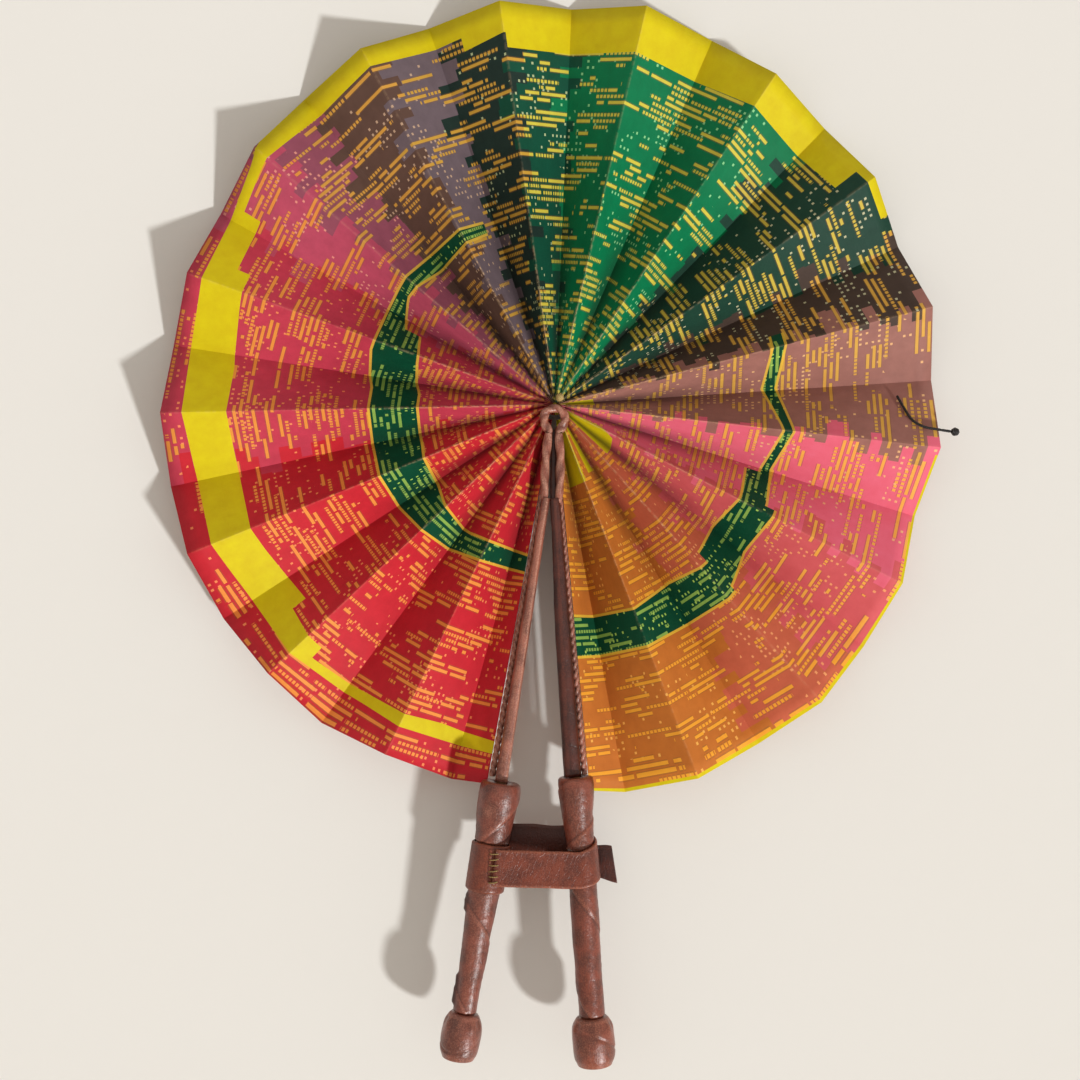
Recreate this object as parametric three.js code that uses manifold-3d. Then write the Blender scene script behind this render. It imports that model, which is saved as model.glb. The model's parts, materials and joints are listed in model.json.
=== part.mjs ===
import * as THREE from 'three';
import { mergeVertices } from 'three/addons/utils/BufferGeometryUtils.js';
import Module from 'manifold-3d';

const wasm = await Module();
wasm.setup();

// Round pleated hand fan, opened until its two guard sticks hang side by side.
// Millimetres, +Z up, the front faces -Y. The origin is the middle of the leather hanging eye.
// Every crease of the leaf runs through one point, the fold centre, just above the eye.

// Leaf
const LEAF_RADIUS = 200;
const FULL_PANELS = 32;
const LEAF_END_ANGLE = 172.3;
const PLEAT_TILT = 31;
const LEAF_THICKNESS = 0.6;
const CREASE_GAP = 0.3;
const LEAF_INNER_RADIUS = 6;
const LEAF_INNER_RADIUS_LOW = 17;
const LOW_PANEL_ANGLE = 150;
const LEAF_RADIUS_AT_GUARD = LEAF_RADIUS - 6.5;
const FOLD_CENTRE_HEIGHT = 7.5;

// Guard sticks, with stations measured down each stick from the fold centre
const GAP = 0.3;
const GUARD_Y = -4.4;
const STICK_TOP = 48;
const STICK_TOP_RADIUS = 2.2;
const STICK_RIM_RADIUS = 3.4;
const COVER_WALL = 0.6;
const ROD_GRIP_RADIUS = 3.5;
const ROD_END = 330;
const PIPING_TOP = 54;
const PIPING_TOP_RADIUS = 1.2;
const PIPING_RIM_RADIUS = 1.75;
const PIPING_TO_LEAF = 0.35;
const PIPING_BEHIND = 0.45;
const RIM_STATION = 195;
const COLLAR_NOTCH_STATION = 200.8;

// Leather parts of each handle: [radius, station]
const HANDLES = {
  left: {
    side: -1,
    coverEnd: 195,
    collar: [[9.9, 195.3], [10.8, 198], [10.8, 203], [10.3, 209], [9.6, 217], [9.2, 222], [9, 226.3]],
    grip: [[8.5, 226.6], [8.5, 252], [8, 258], [7.5, 270], [6.9, 284], [6.4, 298], [6.05, 314.6]],
    knob: [[6.6, 314.9], [8.3, 316.6], [9.9, 320.5], [10.3, 325.5], [10.2, 331], [9.5, 335.6], [8, 338], [5.6, 338.9]],
  },
  right: {
    side: 1,
    coverEnd: 190.7,
    collar: [[8.9, 191], [9.5, 193.5], [9.4, 198], [8.9, 204], [8.1, 211], [7.4, 219], [7.1, 228.3]],
    grip: [[6.95, 228.6], [7.35, 248], [7.3, 266], [7.1, 284], [6.85, 300], [6.8, 314.1]],
    knob: [[7.2, 314.4], [9.1, 316.2], [10.7, 320.3], [11.05, 325.8], [10.9, 331.4], [10.2, 336.2], [8.6, 338.8], [6, 339.7]],
  },
};

// Leather eye that joins the stick tops
const EYE_RADIUS = 5.3;
const EYE_CORD_RADIUS = 2.3;
const EYE_NECK_HALF = 2.65;
const EYE_NECK_DROP = 7.2;

// Strap: a sleeve on the left handle and a loop round the right one
const SLEEVE_TOP = 226.6;
const SLEEVE_LENGTH = 24.6;
const SLEEVE_RADIUS = 10.1;
const STRAP_WIDTH = 18.9;
const STRAP_THICKNESS = 1.6;
const STRAP_STATION = 237.6;
const STRAP_LIFT = 10;
const STRAP_HANDLE_CLEARANCE = 0.6;
const STRAP_SEAM_X = -21;
const TAIL_END_X = 41.5;
const TAIL_WIDTH = 19.2;

// Tie cord through the rim of one panel: [angle from the top, distance from the fold centre]
const TIE_ROUTE = [[86.2, 177.5], [88.2, 180], [90.2, 183.6], [91.2, 189], [91.5, 195.5], [91.7, 203]];
const TIE_CORD_RADIUS = 0.75;
const TIE_KNOT_RADIUS = 2.2;
const TIE_PANEL = 26;

const COLOURS = {
  wood: 0xa98358,
  leather: 0x7a3e34,
  darkLeather: 0x54302a,
  paleLeather: 0xa1705f,
  cord: 0x17130f,
};

// Print colours round the leaf: [angle from the top, colour]
const LEAF_COLOURS = [
  [-172, 0x9c1f24], [-105, 0xb04352], [-55, 0x8d4a5c], [-36, 0x47302c], [-24, 0x4d4452],
  [-8, 0x123027], [10, 0x0d6b3f], [42, 0x123a2b], [66, 0x2c2620], [82, 0x84605a],
  [103, 0xc14f68], [125, 0xbb5a48], [140, 0xb85f3a], [160, 0xa9641f],
];

const rad = THREE.MathUtils.degToRad;
const foldCentre = new THREE.Vector3(0, 0, FOLD_CENTRE_HEIGHT);

// Shared helpers

function material(colour, roughness = 0.75) {
  return new THREE.MeshStandardMaterial({ color: colour, roughness, metalness: 0, side: THREE.FrontSide });
}

function signedVolume(geometry) {
  const p = geometry.getAttribute('position');
  const index = geometry.getIndex();
  const a = new THREE.Vector3();
  const b = new THREE.Vector3();
  const c = new THREE.Vector3();
  let sum = 0;
  for (let i = 0; i < index.count; i += 3) {
    a.fromBufferAttribute(p, index.getX(i));
    b.fromBufferAttribute(p, index.getX(i + 1));
    c.fromBufferAttribute(p, index.getX(i + 2));
    sum += a.dot(b.cross(c)) / 6;
  }
  return sum;
}

// Merges shared corners, drops flat slivers and turns every face outwards
function closedSolid(source) {
  const bare = source.clone();
  bare.deleteAttribute('normal');
  bare.deleteAttribute('uv');
  const merged = mergeVertices(bare, 1e-4);
  const old = merged.getIndex().array;
  const kept = [];
  for (let i = 0; i < old.length; i += 3) {
    const [a, b, c] = [old[i], old[i + 1], old[i + 2]];
    if (a !== b && b !== c && c !== a) kept.push(a, b, c);
  }
  merged.setIndex(kept);
  if (signedVolume(merged) < 0) {
    for (let i = 0; i < kept.length; i += 3) [kept[i], kept[i + 1]] = [kept[i + 1], kept[i]];
    merged.setIndex(kept);
  }
  return merged;
}

// A solid through rings of corners, closed by a flat face at each end
function loft(rings) {
  const n = rings[0].length;
  const positions = rings.flat().flatMap((v) => [v.x, v.y, v.z]);
  const index = [];
  for (let r = 0; r + 1 < rings.length; r++) {
    for (let i = 0; i < n; i++) {
      const a = r * n + i;
      const b = r * n + ((i + 1) % n);
      index.push(a, b, b + n, a, b + n, a + n);
    }
  }
  const last = (rings.length - 1) * n;
  for (let i = 1; i + 1 < n; i++) {
    index.push(0, i + 1, i);
    index.push(last, last + i, last + i + 1);
  }
  const geometry = new THREE.BufferGeometry();
  geometry.setAttribute('position', new THREE.Float32BufferAttribute(positions, 3));
  geometry.setIndex(index);
  return closedSolid(geometry);
}

// A regular ring of corners square to a direction
function ring(centre, direction, radius, sides) {
  const w = direction.clone().normalize();
  const u = new THREE.Vector3(0, 1, 0).cross(w).normalize();
  const v = w.clone().cross(u);
  return Array.from({ length: sides }, (_, i) => {
    const t = (2 * Math.PI * (i + 0.5)) / sides;
    return centre.clone().addScaledVector(u, radius * Math.cos(t)).addScaledVector(v, radius * Math.sin(t));
  });
}

function toManifold(geometry) {
  const mesh = new wasm.Mesh({
    numProp: 3,
    vertProperties: new Float32Array(geometry.getAttribute('position').array),
    triVerts: new Uint32Array(geometry.getIndex().array),
  });
  return new wasm.Manifold(mesh);
}

function fromManifold(solid) {
  const mesh = solid.getMesh();
  const geometry = new THREE.BufferGeometry();
  geometry.setAttribute('position', new THREE.Float32BufferAttribute(Array.from(mesh.vertProperties), 3));
  geometry.setIndex(Array.from(mesh.triVerts));
  return geometry;
}

const fan = new THREE.Group();
fan.name = 'folding_fan';

function addPiece(name, geometry, colour, roughness) {
  const mesh = new THREE.Mesh(geometry, material(colour, roughness));
  mesh.name = name;
  fan.add(mesh);
  return mesh;
}

// Leaf geometry: equal pitches in the open leaf set the cut angle of a panel
const pitch = (2 * LEAF_END_ANGLE) / (FULL_PANELS + 1);
const halfCut = Math.atan(Math.tan(rad(pitch / 2)) / Math.cos(rad(PLEAT_TILT)));
const creaseRise = Math.asin(Math.sin(halfCut) * Math.sin(rad(PLEAT_TILT)));
const panelCount = FULL_PANELS + 2;

// Direction from the fold centre at an angle from the top, raised towards the back
function direction(angle, rise) {
  const t = rad(angle);
  return new THREE.Vector3(Math.cos(rise) * Math.sin(t), Math.sin(rise), Math.cos(rise) * Math.cos(t));
}

// Crease 0 is a valley next to the left guard; odd creases are ridges towards the viewer
function crease(k) {
  const ridge = k % 2 !== 0;
  const angle = -LEAF_END_ANGLE + pitch * (k + 0.5);
  return { ridge, angle, ray: direction(angle, ridge ? -creaseRise : creaseRise) };
}

// A panel thickens steadily from the fold centre to the rim. On a ridge it lies in front of the
// hinge line and in a valley behind it, so that neighbours fold flat against each other.
function panelEdges(i) {
  const guardEdge = (side) => ({ guard: true, angle: side * LEAF_END_ANGLE, ray: direction(side * LEAF_END_ANGLE, 0) });
  const first = i === 0 ? guardEdge(-1) : crease(i - 1);
  const second = i === panelCount - 1 ? guardEdge(1) : crease(i);
  return [first, second];
}

function panelFrame(i) {
  const [a, b] = panelEdges(i);
  const normal = a.ray.clone().cross(b.ray).normalize();
  if (normal.y > 0) normal.negate();
  return { a, b, normal };
}

function edgeRays(edge, other, normal) {
  const thick = LEAF_THICKNESS / LEAF_RADIUS;
  const inset = CREASE_GAP / 2 / LEAF_RADIUS;
  const along = other.ray.clone().sub(edge.ray).normalize().multiplyScalar(inset);
  const base = edge.ray.clone().add(along);
  let [front, back] = [thick, 0];
  if (edge.guard) [front, back] = [thick / 2, -thick / 2];
  else if (!edge.ridge) [front, back] = [0, -thick];
  return [base.clone().addScaledVector(normal, back), base.clone().addScaledVector(normal, front)];
}

// Where rays from the fold centre meet a plane
function onPlane(rays, planeNormal, distance) {
  return rays.map((ray) => ray.clone().multiplyScalar(distance / ray.dot(planeNormal)).add(foldCentre));
}

function panelGeometry(i) {
  const { a, b, normal } = panelFrame(i);
  const rays = [...edgeRays(a, b, normal), ...edgeRays(b, a, normal).reverse()];
  const low = Math.max(Math.abs(a.angle), Math.abs(b.angle)) > LOW_PANEL_ANGLE;
  const innerRadius = low ? LEAF_INNER_RADIUS_LOW : LEAF_INNER_RADIUS;
  const middle = a.ray.clone().add(b.ray).normalize();
  const inner = onPlane(rays, middle, innerRadius);
  const tip = (edge) => edge.ray.clone().multiplyScalar(edge.guard ? LEAF_RADIUS_AT_GUARD : LEAF_RADIUS);
  const rim = tip(b).sub(tip(a)).cross(normal).normalize();
  if (rim.dot(middle) < 0) rim.negate();
  const outer = onPlane(rays, rim, tip(a).dot(rim));
  return loft([inner, outer]);
}

function leafColour(angle) {
  const hit = LEAF_COLOURS.reduce((x, y) => (Math.abs(y[0] - angle) < Math.abs(x[0] - angle) ? y : x));
  return hit[1];
}

for (let i = 0; i < panelCount; i++) {
  const [a, b] = panelEdges(i);
  const name = `panel_${String(i + 1).padStart(2, '0')}`;
  addPiece(name, panelGeometry(i), leafColour((a.angle + b.angle) / 2), 0.85);
}

// Guard frame: u runs down the leaf's end line, v points from the stick to the leaf, in plane
const guardLean = rad(180 - LEAF_END_ANGLE);

function guardPoint(side, u, v, y = GUARD_Y) {
  const x = side * (u * Math.sin(guardLean) + v * Math.cos(guardLean));
  const z = FOLD_CENTRE_HEIGHT - u * Math.cos(guardLean) + v * Math.sin(guardLean);
  return new THREE.Vector3(x, y, z);
}

function along(u, topStation, topValue, rimValue) {
  return THREE.MathUtils.mapLinear(u, topStation, RIM_STATION, topValue, rimValue);
}

const stickRadius = (u) => along(u, STICK_TOP, STICK_TOP_RADIUS, STICK_RIM_RADIUS);
const pipingRadius = (u) => along(u, PIPING_TOP, PIPING_TOP_RADIUS, PIPING_RIM_RADIUS);
const pipingV = (u) => -(PIPING_TO_LEAF + pipingRadius(u));
const pipingY = (u) => -(PIPING_BEHIND + pipingRadius(u));

// The stick lies against its piping, so its centre line follows from the two radii
function stickV(u) {
  const reach = pipingRadius(u) + stickRadius(u) + GAP;
  const step = pipingY(u) - GUARD_Y;
  return pipingV(u) - Math.sqrt(reach * reach - step * step);
}

const axisTop = stickV(PIPING_TOP);
const axisSlope = (stickV(RIM_STATION) - axisTop) / (RIM_STATION - PIPING_TOP);

function axisPoint(side, station) {
  return guardPoint(side, station, axisTop + axisSlope * (station - PIPING_TOP));
}

function axisDirection(side) {
  return axisPoint(side, 1).sub(axisPoint(side, 0)).normalize();
}

// A piece turned about a guard's centre line from a profile of [radius, station]
function turned(side, profile, segments) {
  const points = profile.map(([r, s]) => new THREE.Vector2(r, s));
  const geometry = new THREE.LatheGeometry(points, segments, Math.PI / segments);
  const turn = new THREE.Quaternion().setFromUnitVectors(new THREE.Vector3(0, 1, 0), axisDirection(side));
  geometry.applyQuaternion(turn);
  const foot = axisPoint(side, 0);
  geometry.translate(foot.x, foot.y, foot.z);
  return closedSolid(geometry);
}

// A tube: the outer profile runs down, the bore runs back up
function tube(side, outer, bore, segments) {
  return turned(side, [...outer, ...bore.slice().reverse(), outer[0]], segments);
}

// Everything that a closed leaf sweeps next to the guard is cut from the collar's leaf side
function cutForLeaf(side, geometry) {
  const corners = (u) => [
    guardPoint(side, u, -PIPING_TO_LEAF, -40),
    guardPoint(side, u, 40, -40),
    guardPoint(side, u, 40, 40),
    guardPoint(side, u, -PIPING_TO_LEAF, 40),
  ];
  const block = loft([corners(150), corners(COLLAR_NOTCH_STATION)]);
  return fromManifold(toManifold(geometry).subtract(toManifold(block)));
}

const rodRimRadius = STICK_RIM_RADIUS - COVER_WALL - GAP;
const rodTopRadius = STICK_TOP_RADIUS - COVER_WALL - GAP;
const gripBore = ROD_GRIP_RADIUS + GAP;

for (const [hand, handle] of Object.entries(HANDLES)) {
  const { side } = handle;
  const rod = [
    [0, STICK_TOP + GAP],
    [rodTopRadius, STICK_TOP + GAP],
    [rodRimRadius, RIM_STATION],
    [ROD_GRIP_RADIUS, RIM_STATION + 12],
    [ROD_GRIP_RADIUS, ROD_END],
    [0, ROD_END],
  ];
  addPiece(`guard_rod_${hand}`, turned(side, rod, 12), COLOURS.wood, 0.6);

  const cover = [[STICK_TOP_RADIUS, STICK_TOP], [stickRadius(handle.coverEnd), handle.coverEnd]];
  const coverBore = cover.map(([r, s]) => [r - COVER_WALL, s]);
  addPiece(`stick_cover_${hand}`, tube(side, cover, coverBore, 12), COLOURS.leather);

  const pipingEnd = Math.min(handle.coverEnd, LEAF_RADIUS_AT_GUARD);
  const pipingAt = (u) => guardPoint(side, u, pipingV(u), pipingY(u));
  const pipingWay = pipingAt(pipingEnd).sub(pipingAt(PIPING_TOP));
  const pipingRing = (u) => ring(pipingAt(u), pipingWay, pipingRadius(u), 10);
  addPiece(`piping_${hand}`, loft([pipingRing(PIPING_TOP), pipingRing(pipingEnd)]), COLOURS.paleLeather);

  const boreEnds = (profile) => [[gripBore, profile[0][1]], [gripBore, profile.at(-1)[1]]];
  const collar = tube(side, handle.collar, boreEnds(handle.collar), 20);
  addPiece(`collar_${hand}`, cutForLeaf(side, collar), COLOURS.leather);
  addPiece(`grip_${hand}`, tube(side, handle.grip, boreEnds(handle.grip), 20), COLOURS.leather);

  const knobStart = handle.knob[0][1];
  const knob = [
    [0, ROD_END + GAP],
    [gripBore, ROD_END + GAP],
    [gripBore, knobStart],
    ...handle.knob,
    [0, handle.knob.at(-1)[1]],
  ];
  addPiece(`knob_${hand}`, turned(side, knob, 20), COLOURS.leather, 0.6);

  const neck = new THREE.Vector3(side * EYE_NECK_HALF, GUARD_Y, -EYE_NECK_DROP - GAP);
  const foot = axisPoint(side, STICK_TOP - GAP);
  const leg = foot.clone().sub(neck);
  const legRings = [ring(neck, leg, EYE_CORD_RADIUS, 10), ring(foot, leg, STICK_TOP_RADIUS, 10)];
  addPiece(`eye_leg_${hand}`, loft(legRings), COLOURS.paleLeather);
}

// A round cord along a curve
function cordAlong(points, radius, sides, steps) {
  const outline = new THREE.Shape(
    Array.from({ length: sides }, (_, i) => {
      const t = (2 * Math.PI * (i + 0.5)) / sides;
      return new THREE.Vector2(radius * Math.cos(t), radius * Math.sin(t));
    }),
  );
  const path = new THREE.CatmullRomCurve3(points, false, 'centripetal');
  return closedSolid(new THREE.ExtrudeGeometry(outline, { steps, bevelEnabled: false, extrudePath: path }));
}

// The eye: a rolled leather arch round the hanging hole, drawn in to the two stick tops
const archHalf = [
  [EYE_NECK_HALF, -EYE_NECK_DROP],
  [EYE_NECK_HALF, -EYE_NECK_DROP + 1],
  [EYE_RADIUS * 0.9, -EYE_RADIUS * 0.55],
  [EYE_RADIUS, EYE_RADIUS * 0.12],
  [EYE_RADIUS * 0.74, EYE_RADIUS * 0.7],
];
const archPoints = [
  ...archHalf.map(([x, z]) => new THREE.Vector3(-x, GUARD_Y, z)),
  new THREE.Vector3(0, GUARD_Y, EYE_RADIUS),
  ...archHalf.map(([x, z]) => new THREE.Vector3(x, GUARD_Y, z)).reverse(),
];
addPiece('eye_arch', cordAlong(archPoints, EYE_CORD_RADIUS, 10, 28), COLOURS.paleLeather);

// Sleeve of the strap, free to slide down the tapering grip
const sleeveBore = HANDLES.left.grip[0][0] + GAP;
const sleeveEnd = SLEEVE_TOP + SLEEVE_LENGTH;
addPiece(
  'strap_sleeve',
  tube(-1, [[SLEEVE_RADIUS, SLEEVE_TOP], [SLEEVE_RADIUS, sleeveEnd]], [[sleeveBore, SLEEVE_TOP], [sleeveBore, sleeveEnd]], 20),
  COLOURS.leather,
);

// The strap band: front strand, turn round the right handle, and back strand a little higher
const strapCentre = axisPoint(1, STRAP_STATION);
const handleSlope = axisDirection(1).x / -axisDirection(1).z;
const turnRadius = HANDLES.right.grip[1][0] + STRAP_HANDLE_CLEARANCE + STRAP_THICKNESS / 2;
const sleeveReach = SLEEVE_RADIUS + GAP + STRAP_THICKNESS / 2;

function strapRoute() {
  const turnSteps = 10;
  const turn = Array.from({ length: turnSteps + 1 }, (_, i) => {
    const t = rad(THREE.MathUtils.mapLinear(i, 0, turnSteps, -96, 93));
    const lift = STRAP_LIFT * (i / turnSteps);
    return [strapCentre.x + turnRadius * Math.cos(t), GUARD_Y + turnRadius * Math.sin(t), lift];
  });
  return [[STRAP_SEAM_X, GUARD_Y - sleeveReach, 0], ...turn, [STRAP_SEAM_X, GUARD_Y + sleeveReach, STRAP_LIFT]];
}

// A band standing on edge along a route of [x, y, lift], leaning with whichever handle is nearer
function band(route, width, thickness) {
  const rings = route.map(([x, y, lift], i) => {
    const before = route[Math.max(i - 1, 0)];
    const after = route[Math.min(i + 1, route.length - 1)];
    const way = new THREE.Vector2(after[0] - before[0], after[1] - before[1]).normalize();
    const side = new THREE.Vector2(-way.y, way.x).multiplyScalar(thickness / 2);
    const lean = (handleSlope * x) / strapCentre.x;
    const corner = (s, h) => {
      const rise = lift + (h * width) / 2;
      return new THREE.Vector3(x + s * side.x - lean * rise, y + s * side.y, strapCentre.z + rise);
    };
    return [corner(1, -1), corner(-1, -1), corner(-1, 1), corner(1, 1)];
  });
  return loft(rings);
}

addPiece('strap_loop', band(strapRoute(), STRAP_WIDTH, STRAP_THICKNESS), COLOURS.leather);

// The strap's loose end, which stands out behind the right handle
const tailY = GUARD_Y + turnRadius + STRAP_THICKNESS + GAP;
const tailRoute = [[strapCentre.x + 1, tailY, 2.4], [strapCentre.x + 7, tailY - 0.2, 1.6], [TAIL_END_X, tailY - 1.4, 0.4]];
addPiece('strap_tail', band(tailRoute, TAIL_WIDTH, STRAP_THICKNESS), COLOURS.darkLeather);

// Tie cord on the front of one panel, with a knot on the leaf and one past the rim
const tieFrame = panelFrame(TIE_PANEL - 1);

function onTiePanel(angle, distance, height) {
  const flat = direction(angle, 0);
  const rise = -(flat.dot(tieFrame.normal)) / tieFrame.normal.y;
  const spot = flat.clone().add(new THREE.Vector3(0, rise, 0)).normalize().multiplyScalar(distance);
  return spot.addScaledVector(tieFrame.normal, height).add(foldCentre);
}

const cordHeight = LEAF_THICKNESS + GAP + TIE_CORD_RADIUS;
const tiePoints = TIE_ROUTE.map(([angle, distance]) => onTiePanel(angle, distance, cordHeight));
addPiece('tie_cord', cordAlong(tiePoints, TIE_CORD_RADIUS, 8, 20), COLOURS.cord);

const [endAngle, endDistance] = TIE_ROUTE.at(-1);
const knot = new THREE.SphereGeometry(TIE_KNOT_RADIUS, 10, 8);
const knotSpot = onTiePanel(endAngle, endDistance + TIE_KNOT_RADIUS + GAP, cordHeight);
knot.translate(knotSpot.x, knotSpot.y, knotSpot.z);
addPiece('tie_knot', closedSolid(knot), COLOURS.cord);

export default fan;
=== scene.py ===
import functools
import json
import math

import bpy
import numpy as np
from mathutils import Matrix, Vector


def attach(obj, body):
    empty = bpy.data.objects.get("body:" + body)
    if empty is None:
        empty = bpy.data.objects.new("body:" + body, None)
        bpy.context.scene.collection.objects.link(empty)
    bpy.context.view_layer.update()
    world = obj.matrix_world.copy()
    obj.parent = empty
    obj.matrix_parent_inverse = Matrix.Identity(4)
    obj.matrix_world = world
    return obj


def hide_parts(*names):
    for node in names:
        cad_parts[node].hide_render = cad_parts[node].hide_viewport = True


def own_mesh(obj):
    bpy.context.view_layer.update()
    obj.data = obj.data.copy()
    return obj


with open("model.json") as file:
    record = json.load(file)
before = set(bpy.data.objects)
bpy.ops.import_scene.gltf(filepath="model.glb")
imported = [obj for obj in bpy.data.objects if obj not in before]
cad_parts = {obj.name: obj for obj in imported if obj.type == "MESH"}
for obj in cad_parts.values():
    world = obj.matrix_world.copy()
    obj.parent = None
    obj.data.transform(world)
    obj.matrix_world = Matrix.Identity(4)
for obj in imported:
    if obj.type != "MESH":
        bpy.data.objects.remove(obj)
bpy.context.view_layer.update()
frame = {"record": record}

# Sizes, in millimetres and degrees, as in the part
MM = 0.001
GAP = 0.3
FOLD_CENTRE = np.array([0.0, 0.0, 7.5])
LEAF_RADIUS = 200.0
LEAF_END_ANGLE = 172.3
FULL_PANELS = 32
PLEAT_TILT = 31.0
LEAF_INNER = 5.0
LEAF_INNER_LOW = 8.0
LOW_PANEL_ANGLE = 150.0
RADIUS_AT_GUARD = 193.5
CLOTH_THICKNESS = 0.34
LEAF_THICKNESS = 0.6
GUARD_Y = -4.4
STICK_TOP = 48.0
STICK_TOP_RADIUS = 2.2
STICK_RIM_RADIUS = 3.4
RIM_STATION = 195.0
NOTCH_STATION = 200.8
PIPING_TOP = 54.0
PIPING_TOP_RADIUS = 1.2
PIPING_RIM_RADIUS = 1.75
PIPING_TO_LEAF = 0.35
PIPING_BEHIND = 0.45
SLEEVE_TOP = 226.6
SLEEVE_LENGTH = 24.6
SLEEVE_RADIUS = 10.1
STRAP_STATION = 237.6
STRAP_LIFT = 10.0
STRAP_SEAM_X = -21.0
STRAP_HANDLE_CLEARANCE = 0.6
GRIP_AT_STRAP = 7.35
HANDLE_BORE = 3.8
SLEEVE_BORE = 8.85
STRAP_WIDTH = 18.9
STRAP_THICKNESS = 1.6
TAIL_END_X = 41.5
TAIL_WIDTH = 19.2
EYE_RADIUS = 5.3
EYE_CORD_RADIUS = 2.3
EYE_NECK_HALF = 2.65
EYE_NECK_DROP = 7.2
EYE_END_LAP = 5.0
EYE_END_PRESSED = -4.5
EYE_KNOT_CENTRE = (2.3, -4.2, 11.0)
TONGUE_ROUTE = [
    (0.2, -1.5, -6.0), (0.3, -1.5, -14.0), (0.9, -1.7, -26.0), (1.6, -2.6, -38.0), (2.3, -3.8, -46.0),
]
PIPING_LAP = 9.0
STITCHES = 6
STITCH_INSET = 2.2
HUB_RADIUS = 5.4
HUB_RIDGES = FULL_PANELS + 1
# Rounded bottom of a knob, and the wear all over it
KNOB_ROUND = 0.9
KNOB_RUB = 0.3
TIE_ROUTE = [(86.2, 177.5), (88.2, 180), (90.2, 183.6), (91.2, 189), (91.5, 195.5), (91.7, 203)]
TIE_CORD_RADIUS = 0.75
TIE_KNOT_REACH = 2.3
TIE_PANEL = 26
KNOT_RADIUS = 2.0

# Rim of the leaf at each crease, from the left stick round to the right one
RIM_AT_CREASE = [
    199.2, 198.4, 200.2, 199.7, 200.0, 201.2, 200.5, 200.1, 199.5, 196.6, 197.8,
    199.3, 200.7, 203.0, 203.4, 203.8, 203.7, 203.5, 203.8, 201.5, 200.6, 199.0,
    198.1, 199.3, 197.0, 196.3, 196.7, 197.9, 200.0, 200.1, 200.3, 200.4, 200.6,
]

# How far the loose edge of the cloth stands out past that at each crease, within the hem
RIM_REACH = [
    2.4, 0.0, 4.5, 0.6, 4.4, 0.4, 2.9, 0.0, 0.3, 1.0, 1.6, 0.5, 4.2, 1.5, 3.0, 1.8, 2.7,
    3.3, 3.6, 0.2, 1.7, 0.6, 0.0, -0.5, 0.7, 1.8, 0.6, 1.8, 5.1, 4.1, 6.0, 4.2, 4.3,
]
RIM_HEM = 14.0

# Wraps: way and pitch of the winding and its start as a share of a turn, step at the wrap's edge, depth
# of its dents and creases, seed of their unevenness, painted highlight towards the front, and loose
# flaps as [first station, last station, angle, lift]
COLLAR_WRAP = {"step": 0.75, "dent": 0.2, "crease": 0.16, "painted_highlight": 0.25}
GRIP_WRAP = {"step": 0.55, "dent": 0.16, "crease": 0.12}
SLEEVE_WRAP = {
    "way": 0.0, "pitch": 40, "start": 0.42, "step": 0.5, "dent": 0.08, "crease": 0.1, "seed": 55,
    "painted_highlight": 0.2,
}

# The two handles. Collar, grip and knob are [radius, station down the stick]
HANDLES = {
    "left": {
        "side": -1,
        "leather": "light",
        "cover_leather": "pale",
        "collar": [
            (9.9, 195.3), (10.8, 198), (10.8, 203), (10.3, 209), (9.6, 217), (9.2, 222), (9, 226.3),
        ],
        "grip": [
            (8.5, 226.6), (8.5, 252), (8, 258), (7.5, 270), (6.9, 284), (6.4, 298), (6.05, 314.6),
        ],
        "knob": [
            (6.6, 314.9), (8.3, 316.6), (9.9, 320.5), (10.3, 325.5), (10.2, 331), (9.5, 335.6), (8, 338),
        ],
        "cover_end": 195.0,
        "collar_wrap": {**COLLAR_WRAP, "way": 1, "pitch": 62, "start": 0.35, "seed": 20},
        "grip_wrap": {
            **GRIP_WRAP, "way": -1, "pitch": 46, "start": 0.6, "seed": 30, "painted_highlight": 0.4,
            "flaps": [(252, 264, 0.25, 1.3), (294, 312, 0.15, 1.4)],
        },
        "knob_crease": 0.5,
        "pale_spot": (-25.5, -14.0, -201.0),
    },
    "right": {
        "side": 1,
        "leather": "brown",
        "cover_leather": "dark",
        "collar": [
            (8.9, 191), (9.5, 193.5), (9.4, 198), (8.9, 204), (8.1, 211), (7.4, 219), (7.1, 228.3),
        ],
        "grip": [(6.95, 228.6), (7.35, 248), (7.3, 266), (7.1, 284), (6.85, 300), (6.8, 314.1)],
        "knob": [
            (7.2, 314.4), (9.1, 316.2), (10.7, 320.3), (11.05, 325.8), (10.9, 331.4), (10.2, 336.2),
            (8.6, 338.8),
        ],
        "cover_end": 190.7,
        "collar_wrap": {**COLLAR_WRAP, "way": -1, "pitch": 30, "start": 0.7, "seed": 22},
        "grip_wrap": {**GRIP_WRAP, "way": 1, "pitch": 58, "start": 0.25, "seed": 32, "painted_highlight": 0.12},
        "knob_crease": 2.4,
    },
}


def srgb(red, green, blue):
    """A colour written in 0 to 255 display values, as linear light."""
    shown = np.array([red, green, blue]) / 255.0
    linear = np.where(shown <= 0.04045, shown / 12.92, ((shown + 0.055) / 1.055) ** 2.4)
    return (*linear.tolist(), 1.0)


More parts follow.
